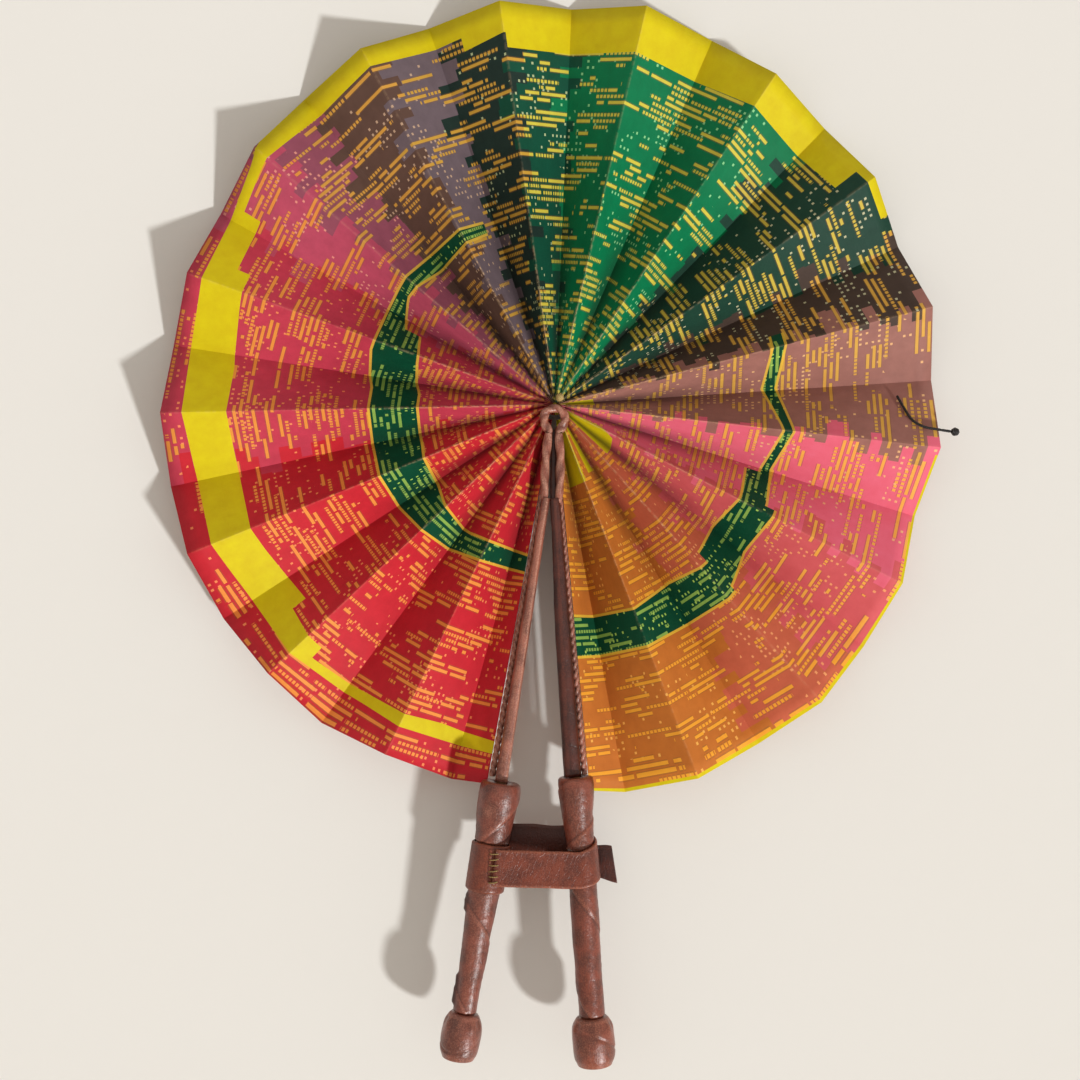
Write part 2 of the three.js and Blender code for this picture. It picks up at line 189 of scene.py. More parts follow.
# Print of the cloth: [angle where the colour starts, colour], clockwise from the top
PRINT_FIELDS = [
    (-180, srgb(196, 36, 48)), (-103.7, srgb(192, 58, 78)), (-63.3, srgb(188, 76, 100)),
    (-53, srgb(150, 78, 96)), (-43.9, srgb(96, 70, 60)), (-31.7, srgb(108, 92, 98)),
    (-21.5, srgb(30, 48, 42)), (-10, srgb(12, 74, 54)), (-1, srgb(0, 114, 70)),
    (40.5, srgb(26, 62, 48)), (60.6, srgb(74, 58, 50)), (70.6, srgb(158, 106, 96)),
    (93.5, srgb(234, 104, 126)), (113, srgb(214, 92, 96)), (128, srgb(200, 98, 70)),
    (144.7, srgb(196, 112, 44)),
]
DASH_COLOURS = [
    (-180, srgb(246, 150, 66)), (-103.7, srgb(236, 150, 60)), (-53, srgb(222, 160, 66)),
    (-31.7, srgb(212, 160, 58)), (-10, srgb(220, 200, 70)), (40.5, srgb(214, 186, 70)),
    (60.6, srgb(226, 170, 70)), (93.5, srgb(250, 178, 70)), (128, srgb(250, 170, 50)),
]
DOT_COLOURS = [
    (-180, srgb(250, 150, 92)), (-63.3, srgb(240, 160, 140)), (-43.9, srgb(206, 170, 140)),
    (-21.5, srgb(190, 200, 150)), (-1, srgb(150, 216, 150)), (40.5, srgb(206, 200, 160)),
    (70.6, srgb(246, 190, 130)), (113, srgb(250, 170, 110)), (144.7, srgb(252, 186, 90)),
]
BAND_YELLOW = srgb(214, 192, 14)
RING_GREEN = srgb(4, 70, 46)
RING_MARKS = srgb(176, 214, 96)
OUTLINE = srgb(236, 190, 60)
DASH_EDGE = (0.25, 0.12, 0.03, 1)

# Extra relief of the folds near the middle, in mm of depth for a leaf of full radius
GATHER_SLOPE = 27.0

# Edges of the yellow rim band and of the green ring: [angle, distance in from the rim]
BAND_OUTER = [
    (-180, 15.5), (-150, 15.8), (-120, 13), (-96, 11), (-75, 7.5), (-63, 5.5), (-54, 2.5), (-49, -2),
    (94.9, -2), (180, -2),
]
BAND_INNER = [
    (-180, 20.5), (-163, 24), (-153, 22), (-138.9, 19.5), (-138.7, 26.5), (-130.7, 28.5),
    (-130.5, 37), (-119, 34), (-97, 33), (-86, 33), (-75, 28.5), (-69.9, 27.5), (-69.7, 20.5),
    (-60.8, 19), (-60.6, 9.5), (-54, 8), (-22, 9.5), (-17, 9), (-16.8, 15.5), (-10.4, 14),
    (-10.2, 21.5), (8, 20.5), (40, 19), (49.7, 17.5), (49.9, 4.5), (57.6, 4), (57.8, -3),
    (94.9, -3), (95.1, 1.1), (180, 1.3),
]
RING_OUTER = [
    (-180, 109), (-167, 112), (-149, 109), (-126, 104.5), (-87, 105.5), (-76, 99.5), (-56, 99.5),
    (-43, 101), (-24.2, 103), (-24, 190), (69.8, 190), (70, 76.5), (83, 82.5), (94, 73.5),
    (104, 80), (113, 77.5), (113.3, 72.2), (125, 76), (133.3, 70), (133.5, 67), (168, 69), (180, 69.5),
]
RING_INNER = [
    (-180, 116), (-167, 120.5), (-149, 119.5), (-135, 122.5), (-127, 126.3), (-109, 128.7),
    (-88, 129), (-76, 122.8), (-66, 119), (-65.8, 111), (-56.5, 104.8), (-43, 109.4), (-24.2, 108),
    (-24, 190), (69.8, 190), (70, 82), (83, 88.5), (94, 77.5), (105, 84.5), (105.4, 91.8),
    (113.5, 90.5), (125, 96), (133.3, 93), (133.5, 86.5), (145, 90), (156, 87.5), (180, 90),
]
HEART_YELLOW = [
    (-180, 199), (79, 199), (79.2, 178), (87.5, 176), (87.7, 199), (113, 199), (113.2, 172),
    (118, 164), (130.5, 163), (130.7, 190), (147, 190), (147.2, 161), (151, 161), (151.2, 188),
    (155, 188), (155.2, 158), (167, 157), (167.2, 172), (180, 170),
]

# Leathers: [material, base colour, dark dye, rubbed edge, strength of the grain, waxed coat]
LEATHERS = {
    "brown": ("brown_leather", (128, 57, 40), (84, 35, 25), (180, 110, 85), 1.0, 0.18),
    "light": ("handled_leather", (124, 57, 42), (82, 35, 26), (176, 112, 91), 1.0, 0.2),
    "pale": ("pale_rolled_leather", (157, 89, 71), (104, 53, 41), (206, 150, 127), 0.8, 0.06),
    "dark": ("dark_leather", (80, 33, 23), (48, 21, 17), (114, 57, 42), 1.0, 0.06),
    "strap": ("strap_leather", (120, 51, 31), (90, 37, 24), (175, 102, 75), 1.0, 0.04),
}

# Threads: [light colour, dark colour, distance of the plies, dullness]
BLACK_THREAD = ((44, 40, 40), (12, 11, 12), 1.1, 0.4)
LINEN_THREAD = ((214, 186, 120), (160, 126, 66), 0.9, 0.5)

# Print, in mm: length of a full turn of the strip, blocks, rows, dots and threads
STRIP_LENGTH = 1462
PRINT_BLOCK = 5.6
DASH_ROW = 3.2
DASH_STEP = 1.7
BEAD_PITCH = 2.6
DOT_PITCH = (3.5, 3.3)
DOT_HALF = 0.2
RING_OUTLINE = 1.4
WEAVE_PITCH = 0.55

# Span of the distances that a printed edge can take
EDGE_SPAN = 500

# Light and view: the sun's slant off the fan's front, its clockwise angle and its width are in
# degrees, and the wall's and the camera's places in metres
SUN_STRENGTH = 2.45
SUN_COLOUR = (0.97, 1.0, 1.0)
SUN_SLANT = 53
SUN_CLOCK = 134
SUN_WIDTH = 4
SKY_STRENGTH = 0.56
SKY_COLOUR = (1.0, 0.945, 0.88, 1.0)
WALL_Y = 0.0188
WALL_LEAN = 0.027
WALL_COLOUR = (0.83, 0.798, 0.755, 1.0)
WALL_HALF_WIDTH = 1.6
WALL_FOOT = -0.6
FLOOR_BEND = 0.15
FLOOR_Z = WALL_FOOT - FLOOR_BEND
CAMERA_PLACE = (-0.02205118657, -0.87371454569, -0.05587966476)
CAMERA_RIGHT = (0.99885444, -0.01967897, 0.04361819)
CAMERA_UP = (-0.04346223, 0.00828464, 0.99902072)
CAMERA_LENS = 56.667
CAMERA_SENSOR = 36


# Camera, lamps and backdrop

def make_camera():
    """The camera stands about 87 cm in front of the fan, a little left of its middle and turned a
    little on its own axis."""
    data = bpy.data.cameras.new("camera")
    data.lens = CAMERA_LENS
    data.sensor_width = CAMERA_SENSOR
    camera = bpy.data.objects.new("camera", data)
    bpy.context.scene.collection.objects.link(camera)
    right = Vector(CAMERA_RIGHT).normalized()
    up = Vector(CAMERA_UP)
    up = (up - right * up.dot(right)).normalized()
    back = right.cross(up)
    turn = Matrix((right, up, back)).transposed().to_4x4()
    camera.matrix_world = Matrix.Translation(CAMERA_PLACE) @ turn
    bpy.context.scene.camera = camera


def make_lamps():
    """One soft sun from the lower right, low over the wall, and an even pale sky."""
    sun = bpy.data.lights.new("sun", "SUN")
    sun.energy = SUN_STRENGTH
    sun.angle = math.radians(SUN_WIDTH)
    sun.color = SUN_COLOUR
    lamp = bpy.data.objects.new("sun", sun)
    bpy.context.scene.collection.objects.link(lamp)
    slant, clock = math.radians(SUN_SLANT), math.radians(SUN_CLOCK)
    toward = Vector((
        math.sin(slant) * math.sin(clock), -math.cos(slant), math.sin(slant) * math.cos(clock),
    ))
    lamp.rotation_mode = "QUATERNION"
    lamp.rotation_quaternion = toward.to_track_quat("Z", "Y")
    world = bpy.data.worlds.new("sky")
    world.use_nodes = True
    sky = world.node_tree.nodes["Background"]
    sky.inputs["Color"].default_value = SKY_COLOUR
    sky.inputs["Strength"].default_value = SKY_STRENGTH
    bpy.context.scene.world = world


def wall_material():
    """Matt pale paint with a faint unevenness, clear where the wall is seen from behind."""
    material, g, shader = new_material("wall_paint")
    shader.inputs["Base Color"].default_value = WALL_COLOUR
    shader.inputs["Roughness"].default_value = 0.9
    shader.inputs["Specular IOR Level"].default_value = 0.2
    relief = g.node("ShaderNodeTexNoise")
    relief.inputs["Scale"].default_value = 90
    relief.inputs["Detail"].default_value = 6
    g.feed(shader.inputs["Normal"], g.bump(relief.outputs["Fac"], 0.12))
    mixer = g.node("ShaderNodeMixShader")
    g.feed(mixer.inputs["Fac"], g.node("ShaderNodeNewGeometry").outputs["Backfacing"])
    g.feed(mixer.inputs[1], shader.outputs["BSDF"])
    g.feed(mixer.inputs[2], g.node("ShaderNodeBsdfTransparent").outputs["BSDF"])
    g.feed(material.node_tree.nodes["Material Output"].inputs["Surface"], mixer.outputs["Shader"])
    return material


def make_backdrop():
    """A plain wall just behind the fan, nearer to its top, that bends in a quarter circle into a pale
    floor."""
    across = np.linspace(-WALL_HALF_WIDTH, WALL_HALF_WIDTH, 9)
    profile = [(WALL_Y - WALL_LEAN * z, z) for z in (1.4, 0.4, -0.5)]
    centre = WALL_Y - WALL_LEAN * WALL_FOOT - FLOOR_BEND
    turn = np.linspace(0, math.pi / 2, 9)
    profile += [(centre + FLOOR_BEND * math.cos(t), WALL_FOOT - FLOOR_BEND * math.sin(t)) for t in turn]
    profile += [(-1.0, FLOOR_Z), (-2.4, FLOOR_Z)]
    grid = np.array([[(x, y, z) for x in across] for y, z in profile])
    rows, columns = grid.shape[:2]
    index = np.arange(rows * columns).reshape(rows, columns)
    faces = np.stack([index[:-1, :-1], index[1:, :-1], index[1:, 1:], index[:-1, 1:]], -1).reshape(-1, 4)
    mesh = bpy.data.meshes.new("backdrop")
    mesh.from_pydata(grid.reshape(-1, 3).tolist(), [], faces.tolist())
    mesh.update()
    mesh.polygons.foreach_set("use_smooth", np.ones(len(mesh.polygons), bool))
    mesh.materials.append(wall_material())
    wall = bpy.data.objects.new("backdrop", mesh)
    bpy.context.scene.collection.objects.link(wall)
    wall.visible_shadow = False


# Mesh helpers

def make_mesh(name, points, faces, material, strip=None, marks=None):
    """A mesh object from points in millimetres and lists of faces, turned to face outwards. strip is
    the place of each point along and across its cloth or thread, and marks are named values per
    point."""
    mesh = bpy.data.meshes.new(name)
    mesh.from_pydata((np.asarray(points, float) * MM).tolist(), [], faces)
    mesh.update()
    if signed_volume(mesh) < 0:
        mesh.flip_normals()
    mesh.polygons.foreach_set("use_smooth", np.ones(len(mesh.polygons), bool))
    if strip is not None:
        corner = np.empty(len(mesh.loops), int)
        mesh.loops.foreach_get("vertex_index", corner)
        layer = mesh.uv_layers.new(name="strip")
        layer.data.foreach_set("uv", np.asarray(strip, np.float32)[corner].ravel())
    for mark, values in (marks or {}).items():
        attribute = mesh.attributes.new(mark, "FLOAT", "POINT")
        attribute.data.foreach_set("value", np.asarray(values, np.float32).ravel())
    mesh.materials.append(material)
    made = bpy.data.objects.new(name, mesh)
    bpy.context.scene.collection.objects.link(made)
    return made


def signed_volume(mesh):
    """Volume enclosed by the faces, negative if they point inwards: a sixth of the sum of the
    triple products of the triangles."""
    mesh.calc_loop_triangles()
    corners = np.empty(len(mesh.loop_triangles) * 3, int)
    mesh.loop_triangles.foreach_get("vertices", corners)
    places = np.empty(len(mesh.vertices) * 3)
    mesh.vertices.foreach_get("co", places)
    a, b, c = (places.reshape(-1, 3)[corners.reshape(-1, 3)[:, k]] for k in range(3))
    return float(np.einsum("ij,ij->i", a, np.cross(b, c)).sum()) / 6


def loop_faces(rows, columns):
    """Quads between successive closed rings of points."""
    index = np.arange(rows * columns).reshape(rows, columns)
    ahead = np.roll(index, -1, axis=1)
    return np.stack([index[:-1], index[1:], ahead[1:], ahead[:-1]], -1).reshape(-1, 4).tolist()


def with_ends(values):
    """The values of all points of a grid of rings, and then the means of the first and last ring."""
    flat = values.reshape(-1, *values.shape[2:])
    return np.concatenate([flat, values[0].mean(axis=0)[None], values[-1].mean(axis=0)[None]])


def capped_rings(grid):
    """Points and faces of a closed skin over rings, with a fan of triangles at both ends."""
    rows, columns = grid.shape[:2]
    first, last, end = rows * columns, rows * columns + 1, (rows - 1) * columns
    around = range(columns)
    faces = loop_faces(rows, columns)
    faces += [[first, a, (a + 1) % columns] for a in around]
    faces += [[last, end + (a + 1) % columns, end + a] for a in around]
    return with_ends(grid), faces


def ring_piece(name, grid, material, strip=None, marks=None):
    """A closed skin over rings, with its two end middles taking the mean values of the end rings."""
    points, faces = capped_rings(grid)
    strip = None if strip is None else with_ends(strip)
    marks = {key: with_ends(np.asarray(value)) for key, value in (marks or {}).items()}
    return make_mesh(name, points, faces, material, strip, marks)


def place(piece, body, slot, *nodes):
    """The piece rides on its body and stands for the named solids. The slot is not used."""
    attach(piece, body)
    if nodes:
        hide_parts(*nodes)


def ripple(a, b, seed, count=5, low=1.0, high=4.0):
    """Smooth unevenness between about -1 and 1: a sum of slanted sine waves over two parameters."""
    dice = np.random.default_rng(seed)
    total = np.zeros(np.broadcast(a, b).shape)
    for _ in range(count):
        u, v = dice.uniform(low, high, 2) * dice.choice([-1, 1], 2)
        total = total + np.sin(u * a + v * b + dice.uniform(0, 2 * math.pi))
    return total / math.sqrt(count) * 0.7


def eased(x, low, high):
    """Smooth step from 0 at low to 1 at high."""
    t = np.clip((x - low) / (high - low), 0, 1)
    return t * t * (3 - 2 * t)


def bell(x, width):
    """A bump of height 1 at x = 0 that fades over the width: e to the power -(x / width) squared."""
    return np.exp(-(x / width) ** 2)


def unit(vector):
    """The same way with length 1, also for rows of ways."""
    vector = np.asarray(vector, float)
    return vector / np.linalg.norm(vector, axis=-1, keepdims=True)


def travelled_along(path):
    """Length of the path up to each of its points."""
    return np.concatenate([[0], np.cumsum(np.linalg.norm(np.diff(path, axis=0), axis=1))])


def turns(count, start=0.0):
    """Angles evenly spread over one full turn, as one row."""
    return np.linspace(start, start + 2 * math.pi, count, endpoint=False)[None, :]


# Fold geometry, as in the part

PITCH = 2 * LEAF_END_ANGLE / (FULL_PANELS + 1)
HALF_CUT = math.atan(math.tan(math.radians(PITCH / 2)) / math.cos(math.radians(PLEAT_TILT)))
CREASE_RISE = math.asin(math.sin(HALF_CUT) * math.sin(math.radians(PLEAT_TILT)))


def direction(angle, rise=0.0):
    """Unit way from the fold centre: clockwise angle from the top, and rise out of the fan's plane."""
    turn = math.radians(angle)
    return np.array([
        math.cos(rise) * math.sin(turn), math.sin(rise), math.cos(rise) * math.cos(turn),
    ])


EDGE_ANGLES = [-LEAF_END_ANGLE]
EDGE_ANGLES += [-LEAF_END_ANGLE + PITCH * (k + 0.5) for k in range(FULL_PANELS + 1)]
EDGE_ANGLES += [LEAF_END_ANGLE]
# 1 where the crease lies back (a valley), -1 where it stands out (a ridge), 0 at a stick
EDGE_KINDS = [0] + [1 if k % 2 == 0 else -1 for k in range(FULL_PANELS + 1)] + [0]
EDGE_RAYS = [direction(a, k * CREASE_RISE) for a, k in zip(EDGE_ANGLES, EDGE_KINDS)]
EDGE_REACH = [0.0] + RIM_REACH + [0.5]
EDGE_RIMS = [rim + reach for rim, reach in zip([198.0] + RIM_AT_CREASE + [199.0], EDGE_REACH)]
PANEL_COUNT = len(EDGE_ANGLES) - 1


def panel_back(i):
    """Way out of the back of a panel, square to its two crease rays."""
    across = unit(np.cross(EDGE_RAYS[i], EDGE_RAYS[i + 1]))
    return across * np.sign(across[1])


TIE_FRONT = -panel_back(TIE_PANEL - 1)


def stick_radius(u):
    """Radius of a covered stick: an even taper from its top to the rim."""
    taper = (u - STICK_TOP) / (RIM_STATION - STICK_TOP)
    return STICK_TOP_RADIUS + (STICK_RIM_RADIUS - STICK_TOP_RADIUS) * taper


def piping_radius(u):
    """Radius of a piping: an even taper from its top to the rim."""
    taper = (u - PIPING_TOP) / (RIM_STATION - PIPING_TOP)
    return PIPING_TOP_RADIUS + (PIPING_RIM_RADIUS - PIPING_TOP_RADIUS) * taper


GUARD_LEAN = math.radians(180 - LEAF_END_ANGLE)


def guard_point(side, u, v, y):
    """Point by station down the guard line u, offset v towards the leaf, and depth y."""
    u, v, y = np.broadcast_arrays(np.asarray(u, float), v, y)
    x = side * (u * math.sin(GUARD_LEAN) + v * math.cos(GUARD_LEAN))
    z = FOLD_CENTRE[2] - u * math.cos(GUARD_LEAN) + v * math.sin(GUARD_LEAN)
    return np.stack([x, y, z], -1)


def stick_offset(u):
    """Offset of the stick's centre line from the guard line, so that it lies on the piping: the long
    side of the right triangle between the two centre lines."""
    reach = piping_radius(u) + stick_radius(u) + GAP
    step = -(PIPING_BEHIND + piping_radius(u)) - GUARD_Y
    return -(PIPING_TO_LEAF + piping_radius(u)) - math.sqrt(reach * reach - step * step)


OFFSET_TOP = stick_offset(PIPING_TOP)
OFFSET_SLOPE = (stick_offset(RIM_STATION) - OFFSET_TOP) / (RIM_STATION - PIPING_TOP)


def axis_point(side, u):
    """Point on the centre line of a stick and its handle."""
    u = np.asarray(u, float)
    return guard_point(side, u, OFFSET_TOP + OFFSET_SLOPE * (u - PIPING_TOP), GUARD_Y)


def axis_frame(side):
    """Way down the stick, and two ways across it: outwards from the fan's middle and to the front."""
    down = unit(axis_point(side, 1.0) - axis_point(side, 0.0))
    front = np.array([0.0, -1.0, 0.0])
    across = unit(np.cross(front, down))
    return down, across * np.sign(across[0] * side), front


def around_axis(side, stations, radii, turn):
    """Rings round a stick: each point is the axis point at its station plus its radius along the
    way that turns from outwards to the front."""
    _, out, front = axis_frame(side)
    turn = np.broadcast_to(turn, radii.shape)
    centre = axis_point(side, stations)[:, None, :]
    spokes = np.cos(turn)[:, :, None] * out + np.sin(turn)[:, :, None] * front
    return centre + radii[:, :, None] * spokes


# Finishes

class Graph:
    """Short calls for wiring one node tree. A value given to them is a number, a colour or the output
    of another node."""

    def __init__(self, tree):
        """Calls that add to this tree."""
        self.tree = tree

    def node(self, kind, **settings):
        """A new node of that kind with its settings."""
        made = self.tree.nodes.new(kind)
        for key, value in settings.items():
            setattr(made, key, value)
        return made

    def feed(self, socket, value):
        """The socket gets the value, or a link to it."""
        if isinstance(value, bpy.types.NodeSocket):
            self.tree.links.new(value, socket)
        else:
            socket.default_value = value

    def feed_all(self, sockets, values):
        """Each socket gets its value, in order."""
        for socket, value in zip(sockets, values):
            self.feed(socket, value)

    def math(self, operation, *values):
        """One sum, product or other operation on values."""
        made = self.node("ShaderNodeMath", operation=operation)
        self.feed_all(made.inputs, values)
        return made.outputs[0]

    def add(self, *values):
        """Sum of all the values."""
        return functools.reduce(lambda total, value: self.math("ADD", total, value), values)

    def times(self, *values):
        """Product of all the values."""
        return functools.reduce(lambda total, value: self.math("MULTIPLY", total, value), values)

    def below(self, value, limit):
        """1 where the value is less than the limit, else 0."""
        return self.math("LESS_THAN", value, limit)

    def above(self, value, limit):
        """1 where the value is more than the limit, else 0."""
        return self.math("GREATER_THAN", value, limit)

    def rescale(self, value, low, high, to_low=0.0, to_high=1.0):
        """Value run smoothly from one span onto another, and held at its ends."""
        made = self.node("ShaderNodeMapRange", interpolation_type="SMOOTHSTEP")
        self.feed_all(made.inputs, (value, low, high, to_low, to_high))
        return made.outputs[0]

    def mix(self, share, first, second, blend="MIX"):
        """Colour between the first and the second by the share."""
        made = self.node("ShaderNodeMix", data_type="RGBA", blend_type=blend)
        self.feed(made.inputs[0], share)
        self.feed(made.inputs[6], first)
        self.feed(made.inputs[7], second)
        return made.outputs[2]

    def vector(self, x, y, z=0.0):
        """A place from its three numbers."""
        made = self.node("ShaderNodeCombineXYZ")
        self.feed_all(made.inputs, (x, y, z))
        return made.outputs[0]

    def split(self, vector):
        """The three numbers of a place."""
        made = self.node("ShaderNodeSeparateXYZ")
        self.feed(made.inputs[0], vector)
        return made.outputs[0], made.outputs[1], made.outputs[2]

    def scaled(self, vector, x, y, z):
        """A place drawn out along each of its three ways."""
        made = self.node("ShaderNodeVectorMath", operation="MULTIPLY")
        self.feed(made.inputs[0], vector)
        made.inputs[1].default_value = (x, y, z)
        return made.outputs[0]

    def noise(self, vector, scale=1.0, detail=2.0, roughness=0.5):
        """Cloudy unevenness between 0 and 1."""
        made = self.node("ShaderNodeTexNoise")
        self.feed(made.inputs["Vector"], vector)
        made.inputs["Scale"].default_value = scale
        made.inputs["Detail"].default_value = detail
        made.inputs["Roughness"].default_value = roughness
        return made.outputs["Fac"]

    def cells(self, vector, scale, feature):
        """Distance inside irregular cells."""
        made = self.node("ShaderNodeTexVoronoi", feature=feature)
        self.feed(made.inputs["Vector"], vector)
        made.inputs["Scale"].default_value = scale
        return made.outputs["Distance"]

    def chance(self, x, y=0.0):
        """A value between 0 and 1 that is the same for the same pair of numbers."""
        made = self.node("ShaderNodeTexWhiteNoise", noise_dimensions="2D")
        self.feed(made.inputs["Vector"], self.vector(x, y))
        return made.outputs["Value"]

    def ramp(self, value, stops, interpolation="LINEAR"):
        """Colour by a value between 0 and 1, from stops of (value, colour)."""
        made = self.node("ShaderNodeValToRGB")
        ramp = made.color_ramp
        ramp.interpolation = interpolation
        while len(ramp.elements) < len(stops):
            ramp.elements.new(1.0)
        for element, (spot, colour) in zip(ramp.elements, sorted(stops, key=lambda stop: stop[0])):
            element.position = spot
            element.color = colour
        self.feed(made.inputs[0], value)
        return made.outputs[0]

    def bump(self, height, strength=1.0):
        """Normal of a surface with that height, in mm."""
        made = self.node("ShaderNodeBump")
        made.inputs["Strength"].default_value = strength
        made.inputs["Distance"].default_value = MM
        self.feed(made.inputs["Height"], height)
        return made.outputs["Normal"]


def new_group(name, **inputs):
    """An effect with named inputs, given as name=kind, that puts out a colour, a roughness and a
    height."""
    tree = bpy.data.node_groups.new(name, "ShaderNodeTree")
    for key, kind in inputs.items():
        tree.interface.new_socket(key, in_out="INPUT", socket_type=f"NodeSocket{kind}")
    for key, kind in (("Color", "Color"), ("Roughness", "Float"), ("Height", "Float")):
        tree.interface.new_socket(key, in_out="OUTPUT", socket_type=f"NodeSocket{kind}")
    graph = Graph(tree)
    return tree, graph, graph.node("NodeGroupInput").outputs, graph.node("NodeGroupOutput").inputs


def at_angle(degrees):
    """Share of the way along the strip for an angle round the leaf."""
    return (degrees + 180) / 360


def strip_edge(graph, along, table):
    """Distance in from the rim, in mm, of a printed edge: straight runs between the table's points,
    and a clean jump where two of them stand at almost the same angle."""
    runs, jumps, moved = [], [], 0.0
    for k, (angle, depth) in enumerate(table):
        if k and angle - table[k - 1][0] < 0.5:
            jump = depth - table[k - 1][1]
            jumps.append((at_angle(angle), jump))
            moved += jump
        else:
            runs.append((at_angle(angle), depth - moved))
    stops = [(spot, ((depth + EDGE_SPAN / 2) / EDGE_SPAN,) * 3 + (1,)) for spot, depth in runs]
    value = graph.math("MULTIPLY_ADD", graph.ramp(along, stops), EDGE_SPAN, -EDGE_SPAN / 2)
    for spot, jump in jumps:
        value = graph.math("MULTIPLY_ADD", graph.above(along, spot), jump, value)
    return value


def print_dots(g, length, depth):
    """Dots in a loose grid, each a small square, in patches: 1 on a dot, else 0."""
    spot = g.vector(g.times(length, 1 / 42), g.times(depth, 1 / 24))
    crowd = g.rescale(g.noise(spot, 1.0, 1.5), 0.46, 0.68)
    across, down = g.times(length, 1 / DOT_PITCH[0]), g.times(depth, 1 / DOT_PITCH[1])
    cell = g.chance(g.math("FLOOR", across), g.math("FLOOR", down))
    square = g.times(*(
        g.below(g.math("ABSOLUTE", g.add(g.math("FRACT", way), -0.5)), DOT_HALF) for way in (across, down)
    ))
    return g.times(square, g.below(cell, g.math("MULTIPLY_ADD", crowd, 0.5, 0.04)))


def print_dashes(g, length, depth):
    """Dashes of several lengths in rows, gathered in clusters, some of them broken into beads: 1 on a
    dash, and 1 on the dash and its dark edge."""
    row_spot = g.times(depth, 1 / DASH_ROW)
    row = g.math("FLOOR", row_spot)
    off_row = g.math("ABSOLUTE", g.add(g.math("FRACT", row_spot), -0.5))
    stepped = g.times(g.math("FLOOR", g.times(length, 1 / DASH_STEP)), DASH_STEP)
    reach = g.math("MULTIPLY_ADD", g.chance(row, 3.1), 24, 11)
    start = g.math("MULTIPLY_ADD", g.chance(row, 9.7), 300, stepped)
    run = g.math("DIVIDE", start, reach)
    number = g.math("FLOOR", run)
    spot = g.vector(g.times(length, 1 / 40), g.times(row, DASH_ROW / 12), 5.0)
    cluster = g.rescale(g.noise(spot), 0.42, 0.61, 0.05, 0.93)
    on = g.times(g.below(g.chance(number, row), cluster), g.above(g.math("FRACT", run), 0.09))
    nick = g.times(
        g.below(g.chance(number, g.add(row, 31.0)), 0.4),
        g.below(g.math("FRACT", g.times(length, 1 / BEAD_PITCH)), 0.3),
    )
    on = g.times(on, g.math("SUBTRACT", 1.0, nick))
    return g.times(on, g.below(off_row, 0.25)), g.times(on, g.below(off_row, 0.42))


def print_ring(g, cloth, along, depth, dots, dashes):
    """The green ring over the cloth's colour, with its thin outlines, dashes and dots."""
    outer, inner = strip_edge(g, along, RING_OUTER), strip_edge(g, along, RING_INNER)
    inside = g.math("MINIMUM", g.math("SUBTRACT", depth, outer), g.math("SUBTRACT", inner, depth))
    outline = g.times(
        g.above(inside, -RING_OUTLINE), g.above(g.math("SUBTRACT", inner, outer), 1.0),
    )
    cloth = g.mix(g.times(outline, 0.8), cloth, OUTLINE)
    mark = g.math("MAXIMUM", g.times(dots, 0.9), g.times(dashes, 0.6))
    ring = g.mix(mark, RING_GREEN, RING_MARKS)
    return g.mix(g.times(g.above(inside, 0.0), outline), cloth, ring)


def print_yellow(g, cloth, along, depth):
    """The yellow band at the rim and the yellow patches near the middle, over the cloth's colour."""
    outer = g.math("SUBTRACT", depth, strip_edge(g, along, BAND_OUTER))
    inner = g.math("SUBTRACT", strip_edge(g, along, BAND_INNER), depth)
    band = g.above(g.math("MINIMUM", outer, inner), 0.0)
    heart = g.above(depth, strip_edge(g, along, HEART_YELLOW))
    return g.mix(g.math("MAXIMUM", band, heart), cloth, BAND_YELLOW)


def worn_print(g, cloth, given, spot, depth):
    """Uneven ink, painted shade in the valleys, wear along the ridges with a painted highlight on them,
    both strongest near the middle, and the paler back."""
    blotch = g.noise(g.scaled(spot, 1 / 9, 1 / 9, 1), 1.0, 3.0, 0.6)
    cloud = g.ramp(blotch, [(0.3, (0.42, 0.42, 0.42, 1)), (0.7, (0.60, 0.60, 0.60, 1))])
    cloth = g.mix(0.5, cloth, cloud, "OVERLAY")
    # Lighter ridge lines: wear along the ridges, and a painted highlight on them that grows towards the
    # middle
    ridge_wear_and_highlight = g.times(
        g.rescale(given["Ridge"], 0.1, 1.1, 1.0, 0.0),
        g.rescale(g.noise(g.scaled(spot, 1 / 5, 1 / 2.5, 1)), 0.35, 0.6),
    )
    near = g.rescale(depth, 70, 175)
    ridge_wear_and_highlight = g.times(ridge_wear_and_highlight, g.math("MULTIPLY_ADD", near, 0.34, 0.08))
    # Painted shade: the valleys darkened towards near black, most near the middle
    soil = g.times(g.rescale(given["Sink"], 0.4, 1.0), g.math("MULTIPLY_ADD", near, 0.66, 0.06))
    cloth = g.mix(soil, cloth, (0.012, 0.006, 0.005, 1))
    cloth = g.mix(ridge_wear_and_highlight, cloth, (0.72, 0.47, 0.26, 1))
    return g.mix(g.times(given["Back"], 0.16), cloth, (0.7, 0.66, 0.6, 1))


